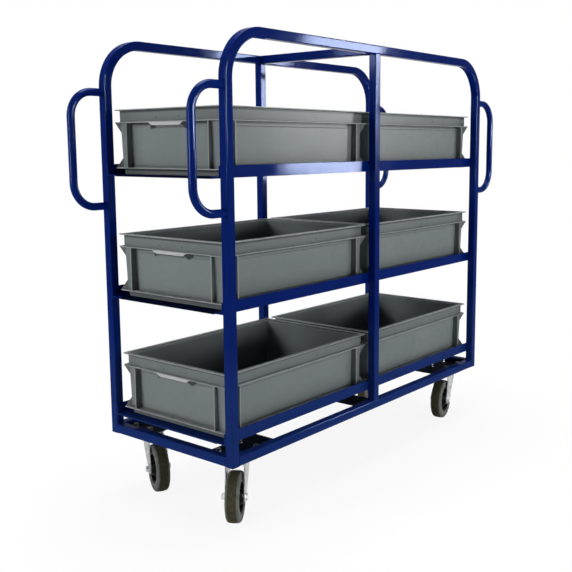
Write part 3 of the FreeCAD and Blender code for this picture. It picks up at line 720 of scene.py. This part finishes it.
# fourth numbers: painted highlight on lip tops and edges; painted shade under lips, on the foot, at the wall's
# base and inside
PROFILE = [
    (15.2, 0, 13, 0), (14, 1.2, 14, -0.25), (14, 9, 14, -0.3), (14, 11.5, 14, -0.8), (14, 14.4, 14, -0.9),
    (13, 15, 13, -0.8), (2, 15, 6, -0.3), (0.9, 15, 6, 0.1), (0, 15.7, 6, 0.5), (0, 17.3, 6, 0.65),
    (0.9, 18, 6, 0.5), (3, 18, 6, 0.3), (17, 18, 10, 0.1), (19.6, 18, 11, -0.1), (20.9, 19.4, 12, -0.15),
    *[(wall_inset(z), z, 12, 0) for z in (23, 60, 110, 126)], (wall_inset(130), 130, 12, -0.8),
    (18, 134, 12, -0.9),
    (17.3, 163.4, 12, -0.8), (16.7, 164, 12, -0.8), (12.6, 164, 9, -0.8), (12, 163.4, 9, -0.8),
    (12, 134.6, 9, -0.5), (11.4, 134, 9, -0.5), (2, 134, 6, -0.3), (0.9, 134, 6, 0.1), (0, 134.7, 6, 0.35),
    (0, 136.3, 6, 0.5), (0.9, 137, 6, 0.45), (3, 137, 6, 0.3), (6.5, 137, 8, 0.15), (8, 137, 8, 0),
    (9, 138, 8, 0), (9, 141, 8, -0.15), (9, 160, 8, -0.15), (9, 162.5, 8, -0.75), (9, 166, 8, -0.85),
    (8, 167, 8, -0.8), (2, 167, 6, -0.4), (0.9, 167, 6, 0.1), (0, 167.7, 6, 0.3), (0, 169.2, 6, 0.5),
    (0.8, 170, 6, 0.4), (3, 170, 6, 0.15), (11.3, 170, 8.5, 0.2), (12, 169.3, 9, 0.25), (12, 167.5, 9, -0.3),
    (12.5, 167, 9, -0.5), (15, 167, 9, 0), (19.2, 167, 9, 0.1), (20.2, 166, 9, 0.15), (20.4, 160, 9, -0.15),
    (wall_inset(60, 21.0), 60, 9, -0.2), (24.0, 16, 9, -0.25), (24.2, 8, 9, -0.4), (25.6, 4.4, 9, -0.4),
    (28.7, 3, 8, -0.3),
]


def rounded_ring(length, width, radius, height):
    return [vec(x, y, height) for x, y in rounded(length, width, radius, 6)]


def shaded(bm, values):
    """Stores painted light for each point, a highlight above zero and shade below it: one value, or a list of
    them.
    """
    layer = bm.verts.layers.float.new("edge")
    for index, vert in enumerate(bm.verts):
        vert[layer] = values[index] if isinstance(values, list) else values
    return bm


def container_shell():
    """The profile's rings, from the foot up the outside and down the inside to the floor."""
    rings, edges = [], []
    for inset, z, radius, edge in PROFILE:
        off = 2 * inset * MM
        rings.append(rounded_ring(BOX_LENGTH - off, BOX_WIDTH - off, radius * MM, z * MM))
        edges += [edge] * len(rings[0])
    return shaded(loft(rings, caps=True), edges)


print("container", [round(c, 3) for c in (BOX_LENGTH, BOX_WIDTH, BOX_HEIGHT)], "with", len(PROFILE), "rings")

# %% [markdown]
# Near each corner an upright rib stiffens the wall, as deep as the lips are wide. The ribs are all alike and
# only turned to face their own side, so a second tree places copies of one rib on points that carry the
# turn as an attribute.

# %% A Geometry Nodes tree that places ribs
def copies(tree, entry, shape, values=()):
    """Ends a tree with copies of a shape on its points, each turned about Z by its own attribute."""
    turn = add(tree, "GeometryNodeInputNamedAttribute", {"Name": "turn"})
    upright = add(tree, "ShaderNodeCombineXYZ", {"Z": turn})
    place = {"Points": entry["Geometry"], "Instance": shape, "Rotation": upright, **dict(values)}
    return end_tree(tree, entry, add(tree, "GeometryNodeInstanceOnPoints", place))


def rib_tree():
    tree, entry = new_tree("place_ribs", {"Rib Scale": 1.0})
    tree.interface.new_socket("Rib", in_out="INPUT", socket_type="NodeSocketObject")
    shape = add(tree, "GeometryNodeObjectInfo", {"Object": entry["Rib"]}, "Geometry")
    return copies(tree, entry, shape, {"Scale": entry["Rib Scale"]})


RIB_THICK, RIB_FROM_CORNER, RIB_RIM = 4 * MM, 48 * MM, 0.3 * MM
RIB_SIDE = [(-22.5, 17.5), (-1, 17.5), (-1, 134.5), (-19.5, 134.5)]


def one_rib():
    """A rib whose lip edge is at X = 0 and which stands out towards +X."""
    outline = [vec(x * MM, -RIB_THICK / 2, z * MM) for x, z in RIB_SIDE]
    solid = soften(prism(outline, Y * RIB_THICK), EDGE)
    inner = RIB_THICK / 2 - RIB_RIM
    # painted light: the rib's front gets a painted highlight and its sides painted shade
    solid = shaded(solid, [0.3 if abs(vert.co.y) < inner else -0.5 for vert in solid.verts])
    return in_scene("one_rib", mesh_of(solid, "one_rib"))


def points_with_turn(spots):
    """A mesh of bare points, each with its turn about Z."""
    mesh = bpy.data.meshes.new("points")
    mesh.from_pydata([spot for spot, turn in spots], [], [])
    mesh.attributes.new("turn", "FLOAT", "POINT").data.foreach_set("value", [turn for spot, turn in spots])
    return mesh


def side_of(quarter):
    """How far a side lies from the container's middle, and half its length; the first side faces +X."""
    return (BOX_LENGTH / 2, BOX_WIDTH / 2) if quarter % 2 == 0 else (BOX_WIDTH / 2, BOX_LENGTH / 2)


def quarter_turn(quarter):
    return turned(quarter * pi / 2)


def container_ribs():
    spots = []
    for quarter in range(4):
        reach, half = side_of(quarter)
        for y in (RIB_FROM_CORNER - half, half - RIB_FROM_CORNER):
            spots.append((quarter_turn(quarter) @ vec(reach, y, 0), quarter * pi / 2))
    rib = one_rib()
    ribs = grow(rib_tree(), points_with_turn(spots), GREY, Rib=rib)
    bpy.data.objects.remove(rib)
    return bmesh_of(ribs)


ribs = container_ribs()
print("placed ribs with", len(ribs.faces), "faces")

# %% [markdown]
# Between its ribs each wall carries a panel that stands a little proud, with bevelled edges. From rib to rib
# round a corner runs a column, and thin fins on the corner's diagonal prop up the lip and the base flange.

# %% Container panels, corner columns and fins
PANEL_MARGIN, PANEL_LOW, PANEL_HIGH = 64 * MM, 24, 121
COLUMN_FACE, COLUMN_BACK, COLUMN_SIDE, COLUMN_RADIUS = 11.0, 19.5, 47.0, 6.0
FIN_OUT, FIN_IN = 4.0, 28.0
FLANGE_FIN, LIP_FIN = (17.5, 53.0), (134.5, 94.0)


def container_panel(quarter):
    """A bevelled panel on one side, as far as the ribs allow."""
    reach, half = side_of(quarter)
    rings = []
    for rise, more in ((-0.5, 2.5), (1.5, 0.0)):
        y, low, high = half - PANEL_MARGIN + more * MM, PANEL_LOW - more, PANEL_HIGH + more
        corners = ((-y, low), (y, low), (y, high), (-y, high))
        rings.append([vec(reach - (wall_inset(z) - rise) * MM, y, z * MM) for y, z in corners])
    return placed(shaded(loft(rings, caps=True), 0.0), quarter_turn(quarter))


def corner_column(sx, sy):
    """An angle round a corner of the wall, from rib to rib, that leans with the wall."""
    rings = []
    for z in (FLANGE_TOP - 0.5, LIP_BOTTOM + 0.5):
        face, back, side = wall_inset(z, COLUMN_FACE), wall_inset(z, COLUMN_BACK), COLUMN_SIDE
        spots = [(side, face)]
        spots += [[face + COLUMN_RADIUS * (1 - part(t)) for part in (sin, cos)] for t in turns(0, 90, 6)]
        spots += [(face, side), (back, side), (back, back), (side, back)]
        rings.append([vec(sx * (BOX_LENGTH / 2 - x * MM), sy * (BOX_WIDTH / 2 - y * MM), z * MM)
                      for x, y in spots])
    return shaded(loft(rings, caps=True), 0.0)


def corner_fin(sx, sy, foot, tip):
    """A three-cornered fin between two heights, on the diagonal of a corner."""
    out, across = vec(sx, sy, 0).normalized(), vec(-sy, sx, 0).normalized()
    corner = vec(sx * BOX_LENGTH / 2, sy * BOX_WIDTH / 2, 0)
    spots = ((FIN_OUT, foot), (FIN_IN, foot), (FIN_IN, tip))
    outline = [corner - out * d * MM - across * RIB_THICK / 2 + Z * z * MM for d, z in spots]
    return shaded(soften(prism(outline, across * RIB_THICK), FINE_EDGE), 0.0)


side_pieces = [container_panel(quarter) for quarter in range(4)]
for sx in (-1, 1):
    for sy in (-1, 1):
        side_pieces += [corner_column(sx, sy), corner_fin(sx, sy, *FLANGE_FIN), corner_fin(sx, sy, *LIP_FIN)]
print("made", len(side_pieces), "panels, columns and fins")

# %% [markdown]
# At each short end a hooked grip hangs from the lower lip: fingers curl up behind its bar to pull the container
# off its shelf. The bar has slanted ends, and two cheeks run from them back to the wall. The bar carries a
# painted highlight and the cheeks painted shade. Small dark pips sit on the band, two over each grip and one on
# each long side.

# %% Container grips and the finished containers
GRIP_TOP, GRIP_BOTTOM, GRIP_DEPTH, GRIP_THICK = 65 * MM, 50.5 * MM, 8 * MM, 3 * MM
CHEEK_START, CHEEK_STOP, CHEEK_REACH = 54.75 * MM, 70.75 * MM, 16.5 * MM
CHEEK_SIDE = [(0, 134.5), (0, 128), (0.5, 117), (1, 124), (1, 134.5)]
PIP_INSET, PIP_HEIGHT, PIP_RADIUS, PIP_RISE = 9.1 * MM, 148 * MM, 1.9 * MM, 0.3 * MM
PIPS = ((0, -42), (0, 42), (1, 70), (2, -42), (2, 42), (3, 70))


def container_grip(quarter):
    """A bar and its cheeks; a cheek's side is drawn by the share of its length and the height."""
    x, z = BOX_LENGTH / 2 - GRIP_THICK, (LIP_BOTTOM + 0.5) * MM
    corners = ((-GRIP_TOP, z), (GRIP_TOP, z), (GRIP_BOTTOM, z - GRIP_DEPTH), (-GRIP_BOTTOM, z - GRIP_DEPTH))
    outline = [vec(x, y, height) for y, height in corners]
    # painted highlight on the bar (0.9) and painted shade on the cheeks (-0.7)
    parts = [shaded(soften(prism(outline, X * GRIP_THICK), EDGE), 0.9)]
    for sy in (-1, 1):
        start = vec(x, sy * CHEEK_START, 0)
        along = vec(x - CHEEK_REACH, sy * CHEEK_STOP, 0) - start
        across = vec(-along.y, along.x, 0).normalized() * -sy * GRIP_THICK
        cheek = [start + along * share + Z * height * MM for share, height in CHEEK_SIDE]
        parts.append(shaded(soften(prism(cheek, across), FINE_EDGE), -0.7))
    return placed(joined(*parts), quarter_turn(quarter))


def band_pip(quarter, y):
    reach = side_of(quarter)[0] - PIP_INSET
    outline = [vec(reach, y * MM + a, PIP_HEIGHT + b) for a, b in circle(PIP_RADIUS, 10)]
    return placed(shaded(prism(outline, X * PIP_RISE), -0.9), quarter_turn(quarter))


grips = [container_grip(quarter) for quarter in (0, 2)]
pips = [band_pip(quarter, y) for quarter, y in PIPS]
container_mesh = mesh_of(joined(container_shell(), ribs, *side_pieces, *grips, *pips), "container")
for shelf in SHELVES:
    for side in ("left", "right"):
        node = "container_" + shelf + "_" + side
        low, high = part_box(node)
        mesh = container_mesh.copy()
        mesh.transform(moved((low.x + high.x) / 2, (low.y + high.y) / 2, low.z))
        finish_piece("grey_" + node, mesh, GREY, node, [node])
print("made 6 containers of", len(container_mesh.polygons), "faces")

# %% [markdown]
# Each caster is drawn once with its kingpin on the Z axis and the wheel trailing along +X, and then turned
# and moved to its corner. The turn is read from the swivel and wheel joints, so wheel and fork stand as
# they do in the CAD. Turned pieces such as the tyre and hub are lathe work: a profile carried round an axis.

# %% Where the casters stand
TOP_PLATE, BOTH_RACES = 4 * MM, 14 * MM


def caster_place(corner):
    """The matrix that carries a caster from the Z axis to its corner, its trail and its axle's height."""
    joints = {joint["name"]: joint for joint in frame["joints"]}
    pin = Vector(joints[corner + "_swivel"]["pos_m"])
    hub = Vector(joints[corner + "_wheel_spin"]["pos_m"])
    heading = atan2(hub.y - pin.y, hub.x - pin.x)
    trail = hypot(hub.y - pin.y, hub.x - pin.x)
    return moved(pin.x, pin.y, 0) @ turned(heading), trail, hub.z


PLACES = {corner: caster_place(corner)[0] for corner in CORNERS}
TRAIL, AXLE_Z = caster_place("front_left")[1:]
PLATE_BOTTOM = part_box("caster_front_left_top_plate")[1].z - TOP_PLATE
CROWN_TOP = PLATE_BOTTOM - BOTH_RACES
AXLE = moved(TRAIL, 0, AXLE_Z)
ON_AXLE = AXLE @ turned(-pi / 2, "X")


def lathe(profile, steps, closed=True):
    """Carries a profile of (radius, height) round the Z axis; one that isn't closed starts and ends on it."""
    rings = []
    for step in range(steps):
        angle = tau * (step + 0.5) / steps
        rings.append([vec(r * MM * cos(angle), r * MM * sin(angle), h * MM) for r, h in profile])
    bm = loft(rings, closed=True, open_rings=not closed)
    bmesh.ops.remove_doubles(bm, verts=bm.verts, dist=1e-6)
    bmesh.ops.recalc_face_normals(bm, faces=bm.faces)
    return bm


def caster_piece(look, corner, part, mesh, material, body):
    """A piece that moves with a caster's swivel or wheel, named after its look and its CAD node."""
    node = "caster_" + corner + "_" + part
    return finish_piece(look + "_" + node, mesh, material, "caster_" + corner + "_" + body, [node])


print("trail", round(TRAIL, 4), "axle height", round(AXLE_Z, 4))

# %% [markdown]
# The tyre is solid rubber with round shoulders. Its side walls stay pale while the tread turns brown with
# floor dirt, so every point carries an attribute that says how far round on the tread it lies, and the
# rubber's material mixes its two colours by it.

# %% Tyres and hubs
SHOULDER_R, SHOULDER_H, SHOULDER_ROUND = 58.7, 11, 7
TREAD_START, TREAD_FADE = 65.5, 0.15
HALF_HUB = [
    (7.55, 22), (15.5, 22), (17, 21.2), (18, 19.5), (21, 9.5), (24, 6.5), (28, 5.2), (35.5, 4.8), (37.8, 5.6),
    (38.8, 8), (39.3, 14.5), (40, 15.8), (41, 16), (43.3, 16), (44, 15.4),
]
HUB_PROFILE = HALF_HUB + [(r, -h) for r, h in reversed(HALF_HUB)]


def tyre_profile():
    """From the hub over the shoulder to the middle of the tread, and the same back on the other side."""
    half = [(44.1, 17), (49, 17.6), (54, 18), (SHOULDER_R, 18)]
    for angle in turns(0, 90, 6)[1:]:
        half.append((SHOULDER_R + SHOULDER_ROUND * sin(angle), SHOULDER_H + SHOULDER_ROUND * cos(angle)))
    half += [(66.1, 7), (66.4, 3.5), (66.5, 0)]
    return half + [(r, -h) for r, h in reversed(half[:-1])]


def mark_tread(mesh, place):
    """Stores for each point how far it lies on the tread: 0 on the side wall, 1 on the rolling face."""
    back = (place @ ON_AXLE).inverted()
    shares = []
    for vertex in mesh.vertices:
        local = back @ vertex.co
        radius = hypot(local.x, local.y) / MM
        shares.append(min(1.0, max(0.0, (radius - TREAD_START) / TREAD_FADE)))
    mesh.attributes.new("tread", "FLOAT", "POINT").data.foreach_set("value", shares)


for corner, place in PLACES.items():
    tyre = mesh_of(placed(lathe(tyre_profile(), 96), place @ ON_AXLE), "tyre")
    mark_tread(tyre, place)
    caster_piece("rubber", corner, "tyre", tyre, RUBBER, "wheel")
    caster_piece("black", corner, "hub", placed(lathe(HUB_PROFILE, 72), place @ ON_AXLE), BLACK, "wheel")
print("made", len(PLACES), "wheels")

# %% [markdown]
# The fork is pressed from one strip of steel: a crown under the swivel, folded down at both sides into legs
# that narrow to a round boss at the axle. Going along the fold from one foot to the other, each step is a
# small rectangle as long as the fork is there in side view, so a loft of those rectangles gives the folds,
# the taper and the round feet in one piece.

# %% Forks
FORK_THICK, FORK_HALF, FORK_BEND = 3.5 * MM, 23 * MM, 9 * MM
FORK_SIDE = FORK_HALF + FORK_THICK
CROWN_FRONT, CROWN_BACK, SHOULDER_DROP, BOSS = 30 * MM, 40 * MM, 26 * MM, 15 * MM
SHOULDER_Z = CROWN_TOP - SHOULDER_DROP
LOWER_RACE = [(6.05, 0), (27, 0), (27.5, 1.2), (30.5, 5.5), (32, 7), (32, 8.2), (31.3, 8.7), (6.05, 8.7)]


def tangent_foot(x, side):
    """Where a straight flank from the shoulder touches the round boss."""
    across, up = x - TRAIL, SHOULDER_Z - AXLE_Z
    turn = atan2(up, across) - side * acos(BOSS / hypot(across, up))
    return TRAIL + BOSS * cos(turn), AXLE_Z + BOSS * sin(turn)


def fork_edges(z):
    """Front and back end of the fork at a height, in side view."""
    ends = []
    for x, side in ((-CROWN_FRONT, -1), (CROWN_BACK, 1)):
        foot_x, foot_z = tangent_foot(x, side)
        if z >= SHOULDER_Z:
            ends.append(x)
        elif z >= foot_z:
            ends.append(foot_x + (x - foot_x) * (z - foot_z) / (SHOULDER_Z - foot_z))
        else:
            ends.append(TRAIL + side * sqrt(max(BOSS ** 2 - (z - AXLE_Z) ** 2, 0.0)))
    return ends


def fork_steps():
    """Outer and inner points of the folded strip from the crown's middle to one foot, as (y, z) pairs."""
    steps = [((0.0, CROWN_TOP), (0.0, CROWN_TOP - FORK_THICK))]
    y, z = FORK_SIDE - FORK_BEND, CROWN_TOP - FORK_BEND
    for t in turns(90, 0, 6):
        steps.append([(y + bend * cos(t), z + bend * sin(t)) for bend in (FORK_BEND, FORK_BEND - FORK_THICK)])
    heights = [CROWN_TOP - SHOULDER_DROP * share for share in (0.6, 0.85, 1.0)]
    heights += [SHOULDER_Z - (SHOULDER_Z - AXLE_Z) * share for share in (0.2, 0.4, 0.6, 0.75)]
    heights += [AXLE_Z + BOSS * cos(radians(angle)) for angle in range(20, 176, 12)]
    return steps + [((FORK_SIDE, z), (FORK_HALF, z)) for z in heights]


def caster_fork():
    """The strip from one foot over the crown to the other, with the lower race on it."""
    half = fork_steps()
    other = [((-oy, oz), (-iy, iz)) for (oy, oz), (iy, iz) in reversed(half[1:])]
    rings = []
    for (oy, oz), (iy, iz) in other + half:
        front, back = fork_edges(oz)
        corners = ((front, oy, oz), (back, oy, oz), (back, iy, iz), (front, iy, iz))
        rings.append([Vector(corner) for corner in corners])
    race = placed(lathe(LOWER_RACE, 48), moved(0, 0, CROWN_TOP))
    return joined(soften(loft(rings, caps=True), FORK_EDGE, 50.0), race)


for corner, place in PLACES.items():
    caster_piece("zinc", corner, "fork", placed(caster_fork(), place), DULL_ZINC, "swivel")
print("made", len(PLACES), "forks")

# %% [markdown]
# Above the fork sit the bolted top plate with its upper race, and the kingpin that holds both together.

# %% Top plates and kingpins
PLATE_RADIUS, UPPER_RACE_HEIGHT = 8 * MM, 5 * MM
UPPER_RACE = [(6.05, 0), (28, 0), (29, 1), (29, 4.2), (30.5, 5), (6.05, 5)]
KINGPIN = [(0, 0), (10, 0), (12.5, 1.2), (13, 2.4), (13, 4.4), (12.4, 5), (6, 5), (6, 26.6), (0, 26.6)]
pin_foot = moved(0, 0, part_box("caster_kingpins")[0].z)
pins = []
for corner, place in PLACES.items():
    node = "caster_" + corner + "_top_plate"
    low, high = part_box(node)
    stand = moved(*place.translation)
    ring = rounded_ring(high.x - low.x, high.y - low.y, PLATE_RADIUS, PLATE_BOTTOM)
    plate = soften(prism(ring, Z * (high.z - PLATE_BOTTOM)), FINE_EDGE)
    race = placed(lathe(UPPER_RACE, 48), moved(0, 0, PLATE_BOTTOM - UPPER_RACE_HEIGHT))
    finish_piece("zinc_" + node, placed(joined(plate, race), stand), DULL_ZINC, "frame", [node])
    pins.append(placed(lathe(KINGPIN, 32, closed=False), stand @ pin_foot))
finish_piece("zinc_caster_kingpins", joined(*pins), ZINC, "frame", ["caster_kingpins"])
print("made", len(pins), "top plates and kingpins")

# %% [markdown]
# Bolts and nuts repeat at every caster, so a third tree builds one from its named sizes, a hexagon, a washer
# under it and a threaded end, and stands a copy on each point.

# %% A Geometry Nodes tree for hexagon fasteners
def hexagon_tree():
    """Three discs, each with its corners, its sizes and the height of its base."""
    tree, entry = new_tree("hexagon_fastener", {
        "Hexagon Radius": 7.5 * MM, "Hexagon Height": 6.5 * MM, "Washer Radius": 8.5 * MM,
        "Washer Height": 1.2 * MM, "End Radius": 3.9 * MM, "End Length": 9.0 * MM})
    join = add(tree, "GeometryNodeJoinGeometry")
    for corners, radius, height, base in (
            (6, "Hexagon Radius", "Hexagon Height", entry["Washer Height"]),
            (24, "Washer Radius", "Washer Height", 0.0), (16, "End Radius", "End Length", 0.0)):
        disc = add(tree, "GeometryNodeMeshCylinder", {
            "Vertices": corners, "Radius": entry[radius], "Depth": entry[height]})
        middle = maths(tree, "ADD", maths(tree, "DIVIDE", entry[height], 2.0), base)
        shift = add(tree, "ShaderNodeCombineXYZ", {"Z": middle})
        lift = add(tree, "GeometryNodeTransform", {"Geometry": disc, "Translation": shift})
        wire(tree, join.node, {"Geometry": lift})
    return copies(tree, entry, join)


HEXAGON = hexagon_tree()
UPSIDE_DOWN = turned(pi, "X")
BOLT_X, BOLT_Y = 40 * MM, 30 * MM


def fasteners(spots, **sizes):
    """Hexagon fasteners on points, with their edges broken."""
    return soften(bmesh_of(grow(HEXAGON, points_with_turn(spots), ZINC, **sizes)), FINE_EDGE)


nuts, heads = [], []
nut_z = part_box("caster_mount_plates")[1].z
for index, corner in enumerate(CORNERS):
    middle = PLACES[corner].translation
    for number, (sx, sy) in enumerate(((-1, -1), (1, -1), (1, 1), (-1, 1))):
        x, y = middle.x + sx * BOLT_X, middle.y + sy * BOLT_Y
        turn = 0.4 * index + 1.1 * number  # no two are tightened to the same turn
        nuts.append((vec(x, y, nut_z), turn))
        heads.append((vec(x, -y, -PLATE_BOTTOM), turn))
upper = fasteners(nuts)
lower = fasteners(heads, **{"Hexagon Height": 4.5 * MM, "Washer Height": 1.0 * MM, "End Length": 1.0 * MM})
bolts = joined(upper, placed(lower, UPSIDE_DOWN))
# painted shade: these fasteners lie in shadow under the containers
finish_piece("zinc_mount_fasteners", bolts, SHADED_ZINC, "frame", ["caster_mount_bolts"])
print("made", len(nuts), "nuts and", len(heads), "bolt heads")

# %% [markdown]
# The axle bolt runs through both fork legs, with a hexagon head on one side and a lock nut on the other.

# %% Axles
AXLE_RADII = {"Hexagon Radius": 9.6 * MM, "Washer Radius": 10.5 * MM, "End Radius": 4.9 * MM}
SHANK = [(0, -26), (4.9, -26), (4.9, 26), (0, 26)]
SLEEVE = [(5.1, -23), (7.5, -23), (7.5, 23), (5.1, 23)]


def axle_hexagon(turn, hexagon, washer, end):
    """A nut or head outside a fork leg, by the heights of its parts."""
    heights = {"Hexagon Height": hexagon * MM, "Washer Height": washer * MM, "End Length": end * MM}
    return fasteners([(Z * FORK_SIDE, turn)], **AXLE_RADII, **heights)


for corner, place in PLACES.items():
    nut = axle_hexagon(0.3, 7.2, 1.8, 10.4)
    head = placed(axle_hexagon(0.9, 5.0, 1.4, 1.4), UPSIDE_DOWN)
    bolt = joined(nut, head, lathe(SHANK, 24, closed=False))
    bolt = placed(bolt, place @ AXLE @ turned(pi / 2, "X"))
    caster_piece("zinc", corner, "axle_bolt", bolt, ZINC, "swivel")
    caster_piece("zinc", corner, "axle_sleeve", placed(lathe(SLEEVE, 32), place @ ON_AXLE), ZINC, "swivel")
print("made", len(PLACES), "axles")

# %% [markdown]
# The picture was taken from the trolley's left front corner at chest height. The camera's place, its turn
# and its focal length were found by fitting a pinhole camera to the corners of the posts and containers.
# The small shift stands for the crop of the picture.

# %% Camera
FOCAL_PIXELS, IMAGE_PIXELS, SENSOR = 849.92, 572.0, 36.0
CENTRE_X, CENTRE_Y = 314.05, 265.64
HEADING, TILT, ROLL = -51.611, 7.997, -0.3
CAMERA_PLACE = (-2.0775, -1.6397, BASE_BOTTOM + 0.7893)
camera_data = bpy.data.cameras.new("photo_camera")
camera_data.sensor_width = SENSOR
camera_data.lens = FOCAL_PIXELS / IMAGE_PIXELS * SENSOR
camera_data.shift_x = (IMAGE_PIXELS / 2 - CENTRE_X) / IMAGE_PIXELS
camera_data.shift_y = (CENTRE_Y - IMAGE_PIXELS / 2) / IMAGE_PIXELS
camera = in_scene("photo_camera", camera_data)
place = moved(*CAMERA_PLACE)
for angle, axis in ((HEADING, "Z"), (90 - TILT, "X"), (ROLL, "Z")):
    place = place @ turned(radians(angle), axis)
camera.matrix_world = place
bpy.context.scene.camera = camera
print("lens", round(camera_data.lens, 2))

# %% [markdown]
# A plain white studio. The floor and the world look white to the camera and in reflections, while the floor
# still darkens a little where the trolley keeps the light off it.

# %% Floor and world
FLOOR_SHARE, FADE_START, FADE_STOP = 0.9, 0.8, 1.5
AMBIENT = (0.05, 0.052, 0.054)


def seen_rays(tree):
    """1 for rays from the camera, in reflections and through clear things; 0 for light that falls on things."""
    path = tree.nodes.new("ShaderNodeLightPath").outputs
    either = path["Is Camera Ray"]
    for ray in ("Is Glossy Ray", "Is Transmission Ray"):
        either = maths(tree, "MAXIMUM", either, path[ray])
    return either


def show(tree, output, factor, first, second):
    """Sends two shaders, mixed by a factor, to an output node."""
    mix = add(tree, "ShaderNodeMixShader", {"Fac": factor, 1: first, 2: second})
    wire(tree, tree.nodes[output], {"Surface": mix})


def white_floor(share):
    """A pale floor whose own glow makes up a share of what is seen near the trolley, and all of it far off."""
    bm = bmesh.new()
    bmesh.ops.create_grid(bm, x_segments=1, y_segments=1, size=30.0)
    floor = in_scene("floor", mesh_of(bm, "floor"))
    material, tree, shader = new_finish("pale_floor", 0.9, specular=0.0)
    tint = ramp(tree, speckle(tree, 0.6), [(0.3, (0.9, 0.9, 0.9)), (0.7, (0.92, 0.92, 0.92))])
    wire(tree, shader, {"Base Color": tint})
    place = add(tree, "ShaderNodeTexCoord", out="Object")
    away = add(tree, "ShaderNodeVectorMath", {0: place}, "Value", operation="LENGTH")
    factor = maths(tree, "MULTIPLY", seen_rays(tree), spread(tree, away, share, 1.0, FADE_START, FADE_STOP))
    show(tree, "Material Output", factor, shader.outputs["BSDF"], add(tree, "ShaderNodeEmission"))
    floor.data.materials.append(material)


def white_world(ambient):
    """White where it is seen, and dim grey as light on things."""
    world = bpy.data.worlds.new("white_studio")
    world.use_nodes = True
    bpy.context.scene.world = world
    tree = world.node_tree
    room = tree.nodes["Background"]
    wire(tree, room, {"Color": (*ambient, 1.0)})
    seen = add(tree, "ShaderNodeBackground", {"Color": (1.0, 1.0, 1.0, 1.0)})
    show(tree, "World Output", seen_rays(tree), room.outputs["Background"], seen)


white_floor(FLOOR_SHARE)
white_world(AMBIENT)
print("made the floor and", bpy.context.scene.world.name)

# %% [markdown]
# The lamps stand to the left of the end, and ahead and to the right of the long side, so faces that look
# towards the camera's own corner stay dark, as in the picture. A large lamp above gives the pale tops of the
# lips and hoops. The front lamp is narrow and leans, and shows as bright strips in the gloss paint of the long
# side; the low lamp and the side lamp draw light lines on the round handles and along the posts' round
# corners. A bare lamp is far brighter than what it lights, so each has a stronger twin that only reflections
# show. Of the side lamp there is only this twin, and the fill lamp, which lights the long side evenly from low
# ahead, has none.

# %% Lamps
def soft_lamp(name, place, target, width, height, power, mirrored, lean=0.0):
    """An area lamp that looks at a target, and its twin for reflections; lean turns both, in degrees."""
    turn = (Vector(target) - Vector(place)).to_track_quat("-Z", "Y").to_matrix().to_4x4()
    turn = turn @ turned(radians(lean))
    for twin, energy, ahead in (("", power, 0.0), ("_mirrored", mirrored, 0.01)):
        if not energy:
            continue
        data = bpy.data.lights.new(name + twin, "AREA")
        data.shape = "RECTANGLE"
        data.size, data.size_y, data.energy = width, height, energy
        lamp = in_scene(name + twin, data)
        lamp.visible_diffuse, lamp.visible_glossy = not twin, bool(twin)
        lamp.matrix_world = moved(*place) @ turn @ moved(0, 0, -ahead)


soft_lamp("top_lamp", (0.3, 0.2, 4.4), (0.0, 0.0, 0.6), 2.4, 2.4, 190.0, 490.0)
soft_lamp("front_lamp", (3.005, -2.64, 1.285), (0.0, 0.0, 0.9), 0.57, 1.13, 35.0, 250.0, -7.5)
soft_lamp("end_lamp", (-4.2, 2.27, 2.4), (0.0, 0.0, 0.6), 1.3, 1.6, 85.0, 210.0)
soft_lamp("low_lamp", (-4.9, 1.04, 0.95), (0.0, 0.0, 0.9), 0.5, 0.8, 45.0, 150.0)
soft_lamp("side_lamp", (0.76, -3.93, 1.43), (0.0, 0.0, 1.43), 1.05, 0.93, 0.0, 770.0)
soft_lamp("fill_lamp", (-0.2, -4.0, 0.7), (0.0, 0.0, 0.7), 1.2, 1.0, 48.0, 0.0)
bpy.context.scene.view_settings.view_transform = "Standard"
print("lit by", len(bpy.data.lights), "lamps")
